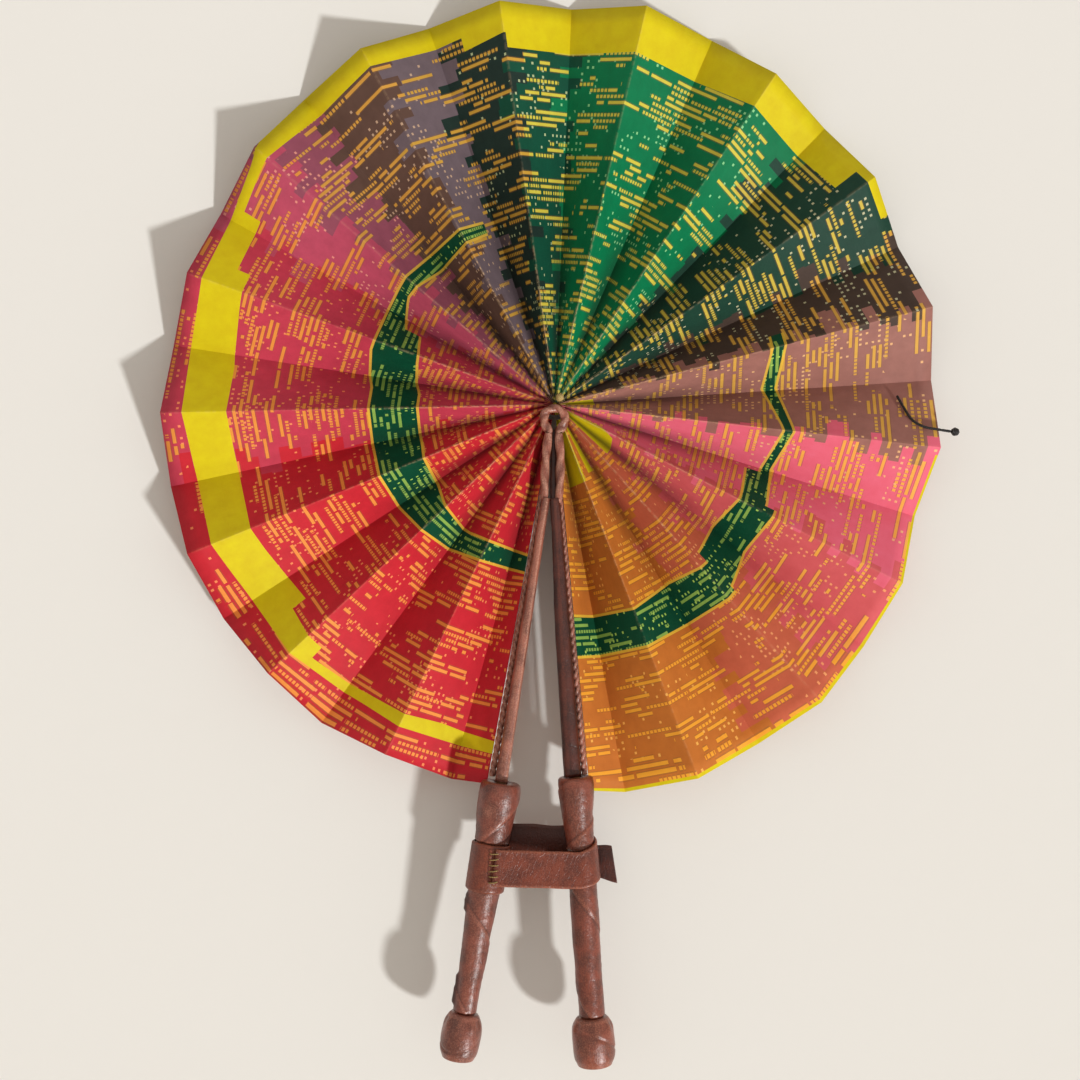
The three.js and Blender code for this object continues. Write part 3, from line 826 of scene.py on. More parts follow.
def print_group():
    """Printed cotton. The strip's own length and width place the print: a rim band, a ring, patches
    near the middle, and dashes and dots in rows along the strip, over fields of colour whose edges
    move by a little from block to block."""
    tree, g, given, out = new_group(
        "printed_cotton", Strip="Vector", Ridge="Float", Back="Float", Sink="Float",
    )
    along, width, _ = g.split(given["Strip"])
    length, depth = g.times(along, STRIP_LENGTH), g.times(width, LEAF_RADIUS)
    block = g.math("FLOOR", g.times(depth, 1 / PRINT_BLOCK))
    shifted = g.add(along, g.math("MULTIPLY_ADD", g.chance(block, 7.3), 0.022, -0.011))
    field, dash_ink, dot_ink = (
        g.ramp(shifted, [(at_angle(angle), colour) for angle, colour in table], "CONSTANT")
        for table in (PRINT_FIELDS, DASH_COLOURS, DOT_COLOURS)
    )
    dots = print_dots(g, length, depth)
    dashes, halo = print_dashes(g, length, depth)
    cloth = g.mix(g.times(dots, 0.8), field, dot_ink)
    cloth = g.mix(g.times(halo, 0.35), cloth, DASH_EDGE)
    cloth = g.mix(g.times(dashes, 0.88), cloth, dash_ink)
    cloth = print_ring(g, cloth, along, depth, dots, dashes)
    cloth = print_yellow(g, cloth, along, depth)
    spot = g.vector(length, depth)
    g.feed(out["Color"], worn_print(g, cloth, given, spot, depth))

    # Plain weave, soft dents, thick threads, and the gathers near the middle
    weave = g.times(*(g.math("SINE", g.times(way, 2 * math.pi / WEAVE_PITCH)) for way in (length, depth)))
    dent = g.noise(g.scaled(spot, 1 / 16, 1 / 26, 1), 1.0, 3.0)
    slub = g.noise(g.scaled(spot, 1 / 6, 1 / 0.5, 1), 1.0, 1.0)
    relief = g.add(g.times(weave, 0.014), g.times(dent, 0.6), g.times(slub, 0.03))
    gather = g.times(given["Sink"], g.rescale(depth, 20, 130, 0.0, -GATHER_SLOPE))
    spread = g.math("MULTIPLY_ADD", width, -1.0, 1.0)
    g.feed(out["Height"], g.times(spread, g.add(relief, gather)))
    g.feed(out["Roughness"], g.math("MULTIPLY_ADD", slub, 0.18, 0.5))
    return tree


def leather_group():
    """Worn vegetable-tanned leather: pebbled cells, fine creases, uneven dye, pale rubbed edges that also
    carry a painted highlight, and painted shade where its marks call for it.
    """
    tree, g, given, out = new_group(
        "worn_leather", Place="Vector", Base="Color", Dark="Color", Rubbed="Color", Wear="Float",
        Grain="Float", Soil="Float",
    )
    spot = g.scaled(given["Place"], 1 / MM, 1 / MM, 1 / MM)
    pebble = g.cells(spot, 1.05, "SMOOTH_F1")
    crease = g.cells(g.scaled(spot, 0.5, 0.5, 0.18), 1.0, "DISTANCE_TO_EDGE")
    dye = g.noise(spot, 0.11, 5.0, 0.6)
    fine = g.noise(spot, 1.6, 4.0, 0.6)
    cracks = g.rescale(crease, 0.0, 0.06, 1.0, 0.0)
    colour = g.mix(g.rescale(dye, 0.36, 0.64), given["Dark"], given["Base"])
    colour = g.mix(g.times(cracks, 0.45), colour, given["Dark"])
    # Lightened by the wear mark, which holds rubbed wear and, on wraps and covers, a painted highlight down
    # the front
    lightened = g.times(g.rescale(fine, 0.42, 0.66), g.math("MULTIPLY_ADD", given["Wear"], 0.7, 0.22))
    colour = g.mix(lightened, colour, given["Rubbed"])
    colour = g.mix(g.times(given["Wear"], 0.35), colour, given["Rubbed"])
    # Painted shade: by its mark the colour goes towards a near-black brown
    deep = g.mix(0.5, given["Dark"], (0.02, 0.012, 0.01, 1))
    g.feed(out["Color"], g.mix(g.times(given["Soil"], 0.85), colour, deep))
    g.feed(out["Roughness"], g.math("MULTIPLY_ADD", fine, 0.24, 0.20))
    grain = g.add(g.times(pebble, 0.09), g.times(fine, 0.14), g.times(cracks, -0.05))
    g.feed(out["Height"], g.add(g.times(grain, given["Grain"]), g.times(dye, 0.3)))
    return tree


def new_material(name):
    """An empty material, the calls that wire it, and its shader."""
    material = bpy.data.materials.new(name)
    material.use_nodes = True
    return material, Graph(material.node_tree), material.node_tree.nodes["Principled BSDF"]


def effect_material(name, group, relief=1.0, **values):
    """A material that shows one effect, and its shader. Inputs that have no value here come from the
    piece: its strip, its place, or a mark of the same name."""
    material, g, shader = new_material(name)
    effect = g.node("ShaderNodeGroup", node_tree=group)
    for socket in effect.inputs:
        if socket.name in values:
            socket.default_value = values[socket.name]
        elif socket.name == "Strip":
            g.feed(socket, g.node("ShaderNodeUVMap", uv_map="strip").outputs["UV"])
        elif socket.name == "Place":
            g.feed(socket, g.node("ShaderNodeTexCoord").outputs["Object"])
        else:
            mark = g.node("ShaderNodeAttribute", attribute_name=socket.name.lower())
            g.feed(socket, mark.outputs["Fac"])
    g.feed(shader.inputs["Base Color"], effect.outputs["Color"])
    g.feed(shader.inputs["Roughness"], effect.outputs["Roughness"])
    g.feed(shader.inputs["Normal"], g.bump(effect.outputs["Height"], relief))
    return material, shader


def cloth_material(group):
    """Printed cotton with little gloss."""
    material, shader = effect_material("printed_cotton_cloth", group)
    shader.inputs["Specular IOR Level"].default_value = 0.18
    return material


def leather_material(name, group, base, dark, rubbed, grain, coat):
    """Leather in its own colours, with a thin waxed coat."""
    material, shader = effect_material(
        name, group, 0.8, Base=srgb(*base), Dark=srgb(*dark), Rubbed=srgb(*rubbed), Grain=grain,
    )
    shader.inputs["Specular IOR Level"].default_value = 0.5
    shader.inputs["Coat Weight"].default_value = coat
    shader.inputs["Coat Roughness"].default_value = 0.35
    return material


def wood_material():
    """Pale split wood: long fibres down the stick and a few darker rings."""
    material, g, shader = new_material("split_wood")
    spot = g.node("ShaderNodeTexCoord").outputs["Object"]
    fibre = g.noise(g.scaled(spot, 900, 900, 45), 1.0, 4.0, 0.6)
    ring = g.noise(g.scaled(spot, 260, 260, 12))
    colour = g.ramp(fibre, [(0.25, srgb(134, 98, 62)), (0.75, srgb(202, 164, 112))])
    colour = g.mix(g.rescale(ring, 0.5, 0.7, 0.0, 0.5), colour, srgb(112, 76, 46))
    g.feed(shader.inputs["Base Color"], colour)
    g.feed(shader.inputs["Roughness"], g.math("MULTIPLY_ADD", fibre, 0.3, 0.5))
    g.feed(shader.inputs["Normal"], g.bump(g.times(fibre, 0.15)))
    return material


def thread_group():
    """Twisted thread: slanting plies that follow the way round and the way along it, and loose hairs."""
    tree, g, given, out = new_group(
        "twisted_thread", Strip="Vector", Place="Vector", Light="Color", Dark="Color", Twist="Float",
        Dullness="Float",
    )
    along, around, _ = g.split(given["Strip"])
    ply = g.math("SINE", g.add(g.times(along, given["Twist"]), g.times(around, 4 * math.pi)))
    hair = g.noise(g.scaled(given["Place"], 2500, 2500, 2500), 1.0, 3.0)
    g.feed(out["Color"], g.mix(g.rescale(g.add(ply, hair), -0.6, 1.4), given["Dark"], given["Light"]))
    g.feed(out["Roughness"], g.math("MULTIPLY_ADD", hair, 0.25, given["Dullness"]))
    g.feed(out["Height"], g.add(g.times(ply, 0.12), g.times(hair, 0.1)))
    return tree


def thread_material(name, group, light, dark, pitch, dullness):
    """Waxed thread in its own two colours, its plies a pitch apart in mm."""
    twist = 2 * math.pi / pitch
    material, _ = effect_material(
        name, group, Light=srgb(*light), Dark=srgb(*dark), Twist=twist, Dullness=dullness,
    )
    return material


# Tie cord

def smooth_path(points, count):
    """Evenly spread points on the curve through the given ones: between two of them it is the cubic
    whose ends run along the neighbours' chords."""
    points = np.asarray(points, float)
    ends = np.concatenate([[2 * points[0] - points[1]], points, [2 * points[-1] - points[-2]]])
    share = np.linspace(0, 1, 24, endpoint=False)[:, None]
    spans = [
        0.5 * (
            2 * b + (c - a) * share + (2 * a - 5 * b + 4 * c - d) * share ** 2
            + (3 * b - a - 3 * c + d) * share ** 3
        )
        for a, b, c, d in zip(ends[:-3], ends[1:-2], ends[2:-1], ends[3:])
    ]
    dense = np.concatenate(spans + [points[-1:]])
    travelled = travelled_along(dense)
    wanted = np.linspace(0, travelled[-1], count)
    return np.stack([np.interp(wanted, travelled, dense[:, k]) for k in range(3)], -1)


def path_frames(path):
    """Two ways across a path at each of its points, the first as near to the front as can be."""
    front = np.array([0.0, -1.0, 0.0])
    way = unit(np.gradient(path, axis=0))
    first = unit(front - way * (way @ front)[:, None])
    return first, np.cross(way, first)


def twisted_tube(path, radius, pitch, sides, depth):
    """Rings round a path for two plies laid together: the radius dips between the plies by
    depth x (1 - |cos(angle - 2 pi x length / pitch)|). With the rings come the place of each point
    along and round the path, and how high it lies on its ply."""
    first, second = path_frames(path)
    travelled = travelled_along(path)[:, None]
    turn = turns(sides)
    swell = np.abs(np.cos(turn - 2 * math.pi * travelled / pitch))
    size = np.asarray(radius).reshape(-1, 1) * (1 - depth * (1 - swell))
    spokes = np.cos(turn)[..., None] * first[:, None] + np.sin(turn)[..., None] * second[:, None]
    grid = path[:, None] + size[..., None] * spokes
    strip = np.stack(np.broadcast_arrays(travelled, turn / (2 * math.pi)), -1)
    return grid, strip, swell ** 3


def on_tie_panel(angle, distance, height):
    """Point over the panel with the tie cord: the fold centre's ray at that angle, brought into the
    panel's plane, times the distance, plus the height along the panel's front normal."""
    flat = direction(angle)
    spot = flat + np.array([0, -(flat @ TIE_FRONT) / TIE_FRONT[1], 0])
    return FOLD_CENTRE + unit(spot) * distance + TIE_FRONT * height


def make_tie(material):
    """The thread tied through the leaf: a twisted cord with a wound knot past the rim."""
    height = LEAF_THICKNESS + GAP + TIE_CORD_RADIUS
    path = smooth_path([on_tie_panel(angle, distance, height) for angle, distance in TIE_ROUTE], 40)
    grid, strip, _ = twisted_tube(path, TIE_CORD_RADIUS * 0.98, 3.2, 14, 0.22)
    thread = ring_piece("tie_thread", grid, material, strip)
    centre = on_tie_panel(TIE_ROUTE[-1][0], TIE_ROUTE[-1][1] + TIE_KNOT_REACH, height)
    knot = knot_piece("tie_thread_knot", centre, unit(path[-1] - path[-2]), TIE_FRONT, material)
    place(thread, f"leaf_{TIE_PANEL:02d}", "black_cord", "tie_cord")
    place(knot, f"leaf_{TIE_PANEL:02d}", "black_cord", "tie_knot")
    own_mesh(thread)


def knot_piece(name, centre, way, front, material):
    """A wound knot: a ball whose surface rises and falls with three turns of thread, radius x
    (1 + 0.12 |sin(3 x height angle + angle)| - 0.03 cos(2 x angle))."""
    rise = np.linspace(0.02, math.pi - 0.02, 20)[:, None]
    turn = turns(26)
    radius = KNOT_RADIUS * (1 + 0.12 * np.abs(np.sin(3 * rise + turn)) - 0.03 * np.cos(2 * turn))
    spokes = (
        np.cos(rise)[..., None] * way
        + (np.sin(rise) * np.cos(turn))[..., None] * np.cross(way, front)
        + (np.sin(rise) * np.sin(turn))[..., None] * front
    )
    strip = np.stack(np.broadcast_arrays(rise * 3.0, turn / (2 * math.pi)), -1)
    return ring_piece(name, centre + radius[..., None] * spokes, material, strip)


# Leaf

PANEL_COLUMNS = 11
PANEL_ROWS = 25


def fold_outline(kind):
    """Outline past a panel's edge, as reach and depth in cloth thicknesses: a quarter circle round the
    hinge line at a fold, which lies on the face that closes, and a shallow round at a stick."""
    quarter = np.linspace(0, math.pi / 2, 5)
    if kind > 0:
        return [(math.sin(t), math.cos(t)) for t in quarter[:0:-1]]
    if kind < 0:
        return [(math.sin(t), -math.cos(t)) for t in quarter[1:]]
    return [(0.5 * math.sin(t), -0.5 * math.cos(t)) for t in (0.8, 1.57, 2.34)]


def panel_profile(kind_a, kind_b):
    """Outline of a panel's cross-section: share of the way across, and reach past either edge and
    depth, both in cloth thicknesses. The front runs from edge a to edge b, the back returns. With it
    comes the count of its points past edge b."""
    even = np.linspace(0, 1, PANEL_COLUMNS)
    across = 0.35 * (0.5 - 0.5 * np.cos(np.linspace(0, math.pi, PANEL_COLUMNS))) + 0.65 * even
    middle = 0.5 * (kind_a + (kind_b - kind_a) * across)
    end_b = fold_outline(kind_b)
    rows = [(s, 0.0, m - 0.5) for s, m in zip(across, middle)]
    rows += [(1.0, reach, depth) for reach, depth in end_b]
    rows += [(s, 0.0, m + 0.5) for s, m in zip(across[::-1], middle[::-1])]
    rows += [(0.0, -reach, -depth) for reach, depth in fold_outline(-kind_a)]
    return np.array(rows), len(end_b)


def panel_faces(total, count_b):
    """Faces of a panel's skin: quads along it, and over both ends quads with a rounded face at either
    edge."""
    faces = loop_faces(PANEL_ROWS, total)
    rear_b = PANEL_COLUMNS + count_b
    rear_a = rear_b + PANEL_COLUMNS - 1
    for start, outer in ((0, False), ((PANEL_ROWS - 1) * total, True)):
        front = start + np.arange(PANEL_COLUMNS)
        rear = start + rear_a - np.arange(PANEL_COLUMNS)
        caps = np.stack([front[:-1], front[1:], rear[1:], rear[:-1]], -1).tolist()
        caps.append(list(range(start + PANEL_COLUMNS - 1, start + rear_b + 1)))
        caps.append(list(range(start + rear_a, start + total)) + [start])
        faces += [cap[::-1] for cap in caps] if outer else caps
    return faces


def panel_points(i, outline, radius_a, radius_b):
    """Points of a panel: at each distance its cross-section spans the chord between the two crease
    rays, ray x radius, with thickness growing evenly from the fold centre outwards and a slight
    slack."""
    across, past, deep = outline.T
    ray_a, ray_b = EDGE_RAYS[i], EDGE_RAYS[i + 1]
    thick = CLOTH_THICKNESS * (0.96 if i % 2 else 1.0) * (radius_a + radius_b) / 2 / LEAF_RADIUS
    slack = 0.12 * np.sin(math.pi * across)[None, :] * (radius_a / LEAF_RADIUS)
    slack = slack * np.sin(2.1 * i + 3 * np.linspace(0, 1, PANEL_ROWS)[:, None])
    grid = FOLD_CENTRE + (
        radius_a[..., None] * (1 - across)[None, :, None] * ray_a
        + radius_b[..., None] * across[None, :, None] * ray_b
    )
    grid = grid + (thick * past[None, :])[..., None] * unit(ray_b - ray_a)
    return grid + (thick * deep[None, :] + slack)[..., None] * panel_back(i)


def panel_strip(i, across, radius_a, radius_b):
    """Place of each point on the printed strip, as shares of a full turn and of the leaf's radius in
    from the rim. The hem takes up what stands out past the even rim."""
    angle = np.clip(across, 0, 1) * (EDGE_ANGLES[i + 1] - EDGE_ANGLES[i]) + EDGE_ANGLES[i]
    depth_in = (EDGE_RIMS[i] - radius_a) * (1 - across) + (EDGE_RIMS[i + 1] - radius_b) * across
    reach = EDGE_REACH[i] * (1 - across) + EDGE_REACH[i + 1] * across
    depth_in = depth_in - reach * eased(depth_in, 0, RIM_HEM)
    return np.stack(np.broadcast_arrays(at_angle(angle)[None, :], depth_in / LEAF_RADIUS), -1)


def panel_marks(i, across, count_b, radius_a):
    """Marks of each point: distance in mm from a ridge, 1 on the back, and 0 to 1 from the top of a
    ridge to the bottom of a valley."""
    kind_a, kind_b = EDGE_KINDS[i], EDGE_KINDS[i + 1]
    width = np.linalg.norm(EDGE_RAYS[i + 1] - EDGE_RAYS[i]) * radius_a
    ridge = np.full((PANEL_ROWS, len(across)), 50.0)
    if kind_a < 0:
        ridge = np.minimum(ridge, width * across[None, :])
    if kind_b < 0:
        ridge = np.minimum(ridge, width * (1 - across)[None, :])
    back = np.zeros(len(across))
    back[PANEL_COLUMNS + count_b:2 * PANEL_COLUMNS + count_b] = 1
    sink = 0.5 + 0.5 * (kind_a + (kind_b - kind_a) * across)
    marks = {"ridge": ridge, "back": back, "sink": sink}
    return {key: np.broadcast_to(value, ridge.shape).reshape(-1) for key, value in marks.items()}


def make_panel(i, material):
    """One panel of cloth between two creases, from near the fold centre out to the rim."""
    low = max(abs(EDGE_ANGLES[i]), abs(EDGE_ANGLES[i + 1])) > LOW_PANEL_ANGLE
    inner = LEAF_INNER_LOW if low else LEAF_INNER
    share = np.linspace(0, 1, PANEL_ROWS)[:, None]
    radius_a = inner + (EDGE_RIMS[i] - inner) * share
    radius_b = inner + (EDGE_RIMS[i + 1] - inner) * share
    outline, count_b = panel_profile(EDGE_KINDS[i], EDGE_KINDS[i + 1])
    across = outline[:, 0]
    number = f"{i + 1:02d}"
    panel = make_mesh(
        f"cloth_panel_{number}", panel_points(i, outline, radius_a, radius_b).reshape(-1, 3),
        panel_faces(len(outline), count_b), material,
        panel_strip(i, across, radius_a, radius_b).reshape(-1, 2),
        panel_marks(i, across, count_b, radius_a),
    )
    place(panel, f"leaf_{number}", frame_slot(f"panel_{number}"), f"panel_{number}")


def frame_slot(node):
    """Name of the material slot that the record gives to a node."""
    for part in frame["record"]["subparts"]:
        if node in (part.get("name"), part.get("node")) or node in part.get("nodes", []):
            return part["material_slot"]
    raise ValueError(node)


# Leather of the sticks and handles

def profile_radius(table, stations):
    """Radius at each station: straight runs between the table's pairs, rounded over about 2 mm."""
    radii, marks = np.array(table).T
    offsets = np.linspace(-1.6, 1.6, 9)
    return np.mean([np.interp(stations + o, marks, radii) for o in offsets], axis=0)


def make_cover(hand, handle, material):
    """Leather drawn round a stick and lapped along its back: a tapering tube whose radius rises by
    0.3 mm to the lap and falls off it, with slow dents."""
    side = handle["side"]
    stations = np.linspace(STICK_TOP, handle["cover_end"], 74)[:, None]
    turn = turns(36)
    lap = ((turn - 1.9 - 0.004 * stations) / (2 * math.pi)) % 1
    radius = stick_radius(stations) - 0.16 + 0.28 * lap ** 3 + 0.07 * ripple(stations / 9, turn, 3 + side)
    if side > 0:
        low = eased(stations, 60, 120)
        radius = radius + (0.5 - 0.5 * np.cos(turn)) ** 3 * (1.2 + 1.4 * low)
    grid = around_axis(side, stations[:, 0], radius, turn)
    # Wear at the lapped edge, and a painted highlight down the front
    wear = 0.6 * (lap > 0.93) + 0.25 * bell(turn - math.pi / 2, 0.7)
    piece = ring_piece(f"cover_leather_{hand}", grid, material, marks={"wear": wear})
    place(piece, f"guard_{hand}", "leather_brown", f"stick_cover_{hand}")


def make_piping(hand, handle, material):
    """Two thin leather strips twisted together along the leaf's edge, laid on the stick."""
    side = handle["side"]
    end = min(handle["cover_end"], RADIUS_AT_GUARD) - 0.2
    stations = np.linspace(PIPING_TOP - PIPING_LAP, end, 440)
    size = piping_radius(stations)
    path = guard_point(side, stations, -(PIPING_TO_LEAF + size), -(PIPING_BEHIND + size))
    grid, _, crown = twisted_tube(path, size * 1.04, 8.5 * side, 14, 0.34)
    piece = ring_piece(f"twisted_piping_{hand}", grid, material, marks={"wear": 0.75 * crown})
    place(piece, f"guard_{hand}", "leather_pale", f"piping_{hand}")


def keep_off_leaf(points, side):
    """Points level with the leaf are pushed back to the line where the piping starts."""
    x, z = points[..., 0], points[..., 2] - FOLD_CENTRE[2]
    station = side * x * math.sin(GUARD_LEAN) - z * math.cos(GUARD_LEAN)
    offset = side * x * math.cos(GUARD_LEAN) + z * math.sin(GUARD_LEAN)
    push = np.where(station < NOTCH_STATION, np.minimum(-PIPING_TO_LEAF - offset, 0), 0)
    push = push * eased(points[..., 1], -4.2, -2.0)
    way = np.array([side * math.cos(GUARD_LEAN), 0, math.sin(GUARD_LEAN)])
    return points + push[..., None] * way


def wrap_flaps(style, turn, stations):
    """Lift of a wrap's loose flaps over a short run each, and painted shade over them."""
    lift, soil = np.zeros((turn.size, stations.size)), np.zeros((turn.size, stations.size))
    for first, last, at, height in style.get("flaps", ()):
        run = eased(stations, first, first + 2.5) * (1 - eased(stations, last - 2.5, last))
        lobe = run * np.exp(-((turn - at + math.pi) % (2 * math.pi) - math.pi) ** 2 / 0.05)
        lift = lift + height * lobe
        # Painted shade over the lifted flap
        soil = soil + 0.95 * eased(lobe, 0.1, 0.5)
    return lift, soil


def wrap_shape(table, style, turn, stations):
    """Outer radius of a wrap: it follows the table, rises by the style's step over each turn and drops
    at the wrap's edge, q = angle / 2 pi + way x station / pitch. With it come the wear of the wrap's
    edges together with a painted highlight towards the front, and painted shade at the foot of each
    edge and over the flaps."""
    low, high = table[0][1], table[-1][1]
    q = (turn / (2 * math.pi) + style["way"] * (stations - low) / style["pitch"] + style["start"]) % 1
    drop = 1 - eased(q, 0.972, 1.0)
    dents = ripple(stations / 8, turn, style["seed"], 6, 1, 3)
    creases = ripple(stations / 2.2 + 1.5 * np.sin(turn), turn * 2, style["seed"] + 5, 4, 1, 2)
    lift, flap_shade = wrap_flaps(style, turn, stations)
    rim = np.minimum(eased(stations, low, low + 1.1), 1 - eased(stations, high - 1.1, high))
    radius = profile_radius(table, stations) - style["step"] * 0.75
    radius = radius + style["step"] * (0.25 + 0.75 * q) * drop
    radius = radius + style["dent"] * dents - style["crease"] * np.abs(creases)
    radius = radius + lift - 0.75 * (1 - rim) ** 2
    wear = 0.4 * np.clip(1.6 * eased(q, 0.92, 0.97) * drop, 0, 1) + 0.5 * (1 - rim)
    # Painted highlight: lighter towards the front
    wear = wear + style["painted_highlight"] * bell(turn - math.pi / 2, 0.8)
    # Painted shade: darker at the foot of each edge, where the next turn steps over, and over the flaps
    soil = 0.8 * bell(q, 0.018) + flap_shade
    return radius, np.clip(wear, 0, 1), np.clip(soil, 0, 1)


def wound_tube(side, table, bore, style, count):
    """Closed tube round a handle: outside lies the wrap, inside runs the bore. Returns the rings, and
    the marks of their points."""
    outer = np.linspace(table[0][1], table[-1][1], count[0])
    turn = turns(count[1])
    radius, wear, soil = wrap_shape(table, style, turn.T, outer[None, :])
    sizes = np.concatenate([radius, np.full_like(radius, bore)], axis=1)
    grid = around_axis(side, np.concatenate([outer, outer[::-1]]), sizes.T, turn)
    blank = np.zeros_like(radius)
    marks = {"wear": np.concatenate([wear, blank], axis=1), "soil": np.concatenate([soil, blank], axis=1)}
    return grid.transpose(1, 0, 2), marks


def torus_faces(rows, columns):
    """Quads of a grid that closes on itself both ways."""
    index = np.arange(rows * columns).reshape(rows, columns)
    down, ahead = np.roll(index, -1, axis=0), np.roll(index, -1, axis=1)
    both = np.roll(down, -1, axis=1)
    return np.stack([index, down, both, ahead], -1).reshape(-1, 4).tolist()


def tube_piece(name, rings, marks, material):
    """A closed tube whose rings run out along it and back through its bore."""
    rows, columns = rings.shape[:2]
    return make_mesh(
        name, rings.reshape(-1, 3), torus_faces(rows, columns), material,
        marks={key: value.reshape(-1) for key, value in marks.items()},
    )


def make_handle(hand, handle, leathers):
    """Collar, grip and knob of one stick."""
    side, hide = handle["side"], leathers[handle["leather"]]
    rings, marks = wound_tube(side, handle["collar"], HANDLE_BORE, handle["collar_wrap"], (44, 110))
    rings = keep_off_leaf(rings, side)
    if "pale_spot" in handle:
        away = np.linalg.norm(rings - handle["pale_spot"], axis=2)
        marks["wear"] = np.clip(marks["wear"] + 1.2 * bell(away, 2.6), 0, 1)
    collar = tube_piece(f"collar_wrap_{hand}", rings, marks, hide)
    place(collar, f"guard_{hand}", "leather_brown", f"collar_{hand}")
    rings, marks = wound_tube(side, handle["grip"], HANDLE_BORE, handle["grip_wrap"], (96, 110))
    grip = tube_piece(f"grip_wrap_{hand}", rings, marks, hide)
    place(grip, f"guard_{hand}", "leather_brown", f"grip_{hand}")
    make_knob(hand, handle, hide)


def make_knob(hand, handle, material):
    """Leather drawn over the drum at a stick's end: radius from the table, times 1 + a small pleat
    wave near the shoulder, with a raised seam at its top, a slanting crease and a rounded, puckered
    bottom."""
    side, table = handle["side"], handle["knob"]
    top, bottom = table[0][1], table[-1][1]
    bend = np.linspace(0, math.pi / 2, 12)[1:]
    stations = np.concatenate([np.linspace(top, bottom, 46), bottom + KNOB_ROUND * np.sin(bend)])
    close = np.concatenate([np.ones(46), np.cos(bend)])
    close[-1] = 0.03
    turn, u = turns(110), stations[:, None]
    drum = profile_radius(table, np.minimum(u, bottom))
    waves = np.cos(9 * turn + 0.8 * np.sin(2 * turn))
    pleat = bell(u - top - 3.5, 3.2)
    slant = u - (top + 12.5 + 6.5 * np.sin(turn + handle["knob_crease"]))
    crease = bell(slant, 0.8) * (0.5 + 0.5 * np.cos(turn - 0.5))
    radius = drum * close[:, None] ** 0.62 * (1 + 0.035 * pleat * waves)
    radius = radius + 0.45 * bell(u - top - 1.2, 0.7)
    radius = radius - 0.6 * crease + 0.22 * ripple(u / 6, turn, 41 + side, 6, 1, 3)
    radius = np.minimum(radius, drum + 0.35)
    grid = around_axis(side, stations, radius, turn)
    wear = 0.7 * bell(u - top - 1.2, 0.8) + 0.5 * eased(u, bottom - 4, bottom)
    wear = wear + 0.35 * pleat * (waves > 0.4) + KNOB_RUB
    piece = ring_piece(f"knob_leather_{hand}", grid, material, marks={"wear": np.clip(wear, 0, 1)})
    place(piece, f"guard_{hand}", "leather_brown", f"knob_{hand}")


# Hanging eye

def make_eye_arch(material):
    """Rolled leather twisted into an arch round the hanging hole."""
    half = [
        (EYE_NECK_HALF, -EYE_NECK_DROP), (EYE_NECK_HALF, -EYE_NECK_DROP + 1),
        (EYE_RADIUS * 0.9, -EYE_RADIUS * 0.55), (EYE_RADIUS, EYE_RADIUS * 0.12),
        (EYE_RADIUS * 0.74, EYE_RADIUS * 0.7),
    ]
    points = [(-x, GUARD_Y, z) for x, z in half] + [(0, GUARD_Y, EYE_RADIUS)]
    points += [(x, GUARD_Y, z) for x, z in half[::-1]]
    radius = EYE_CORD_RADIUS + 0.12 * np.sin(np.linspace(0, 9, 90))
    grid, _, crown = twisted_tube(smooth_path(points, 90), radius, 13, 26, 0.26)
    arch = ring_piece("eye_roll", grid, material, marks={"wear": 0.9 * crown})
    place(arch, "guard_left", "leather_pale", "eye_arch")


def make_eye_end(hand, side, material):
    """One end of the eye's roll: it runs straight from the neck to the stick's top, bowed sideways by
    its spread, and thins at its foot."""
    neck = np.array([side * EYE_NECK_HALF, GUARD_Y, -EYE_NECK_DROP - 0.3])
    foot = axis_point(side, STICK_TOP + EYE_END_LAP)
    share = np.linspace(0, 1, 80)[:, None]
    spread = 1.3 * eased(share, 0.0, 0.35) if side > 0 else 0.8 * np.sin(math.pi * share)
    spread = spread * (1 - eased(share, 0.78, 1.0))
    path = neck + (foot - neck) * share + side * spread * np.array([1.0, 0, 0])
    radius = EYE_CORD_RADIUS - 0.9 * eased(share[:, 0], 0.72, 1.0)
    radius = radius * (1 + 0.03 * np.sin(14 * share[:, 0] + side))
    grid, _, crown = twisted_tube(path, radius, 26 * side, 26, 0.16)
    leg = ring_piece(f"eye_end_{hand}", grid, material, marks={"wear": 0.9 * crown})
    place(leg, f"guard_{hand}", "leather_pale", f"eye_leg_{hand}")
    inward = guard_point(side, 30, EYE_END_PRESSED, GUARD_Y)
    across = guard_point(side, 30, 1, GUARD_Y) - guard_point(side, 30, 0, GUARD_Y)
    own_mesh(leg)


def make_cover_tongue(material):
    """The dark cover's upper end: a flat tongue that narrows up behind the two ends of the eye. Its
    section is an ellipse that swings from flat at the top to the stick's own width at its foot."""
    path = smooth_path(TONGUE_ROUTE, 60)
    share, turn = np.linspace(0, 1, 60)[:, None], turns(24)
    wide = (1.3 + 0.9 * share) * eased(share, -0.06, 0.06)
    deep = 0.45 + 0.6 * share
    grid = np.stack(np.broadcast_arrays(
        path[:, :1] + wide * np.cos(turn), path[:, 1:2] + deep * np.sin(turn), path[:, 2:],
    ), -1)
    piece = ring_piece("cover_tongue", grid, material, marks={"wear": np.full(grid.shape[:2], 0.1)})
    place(piece, "guard_right", "leather_dark")


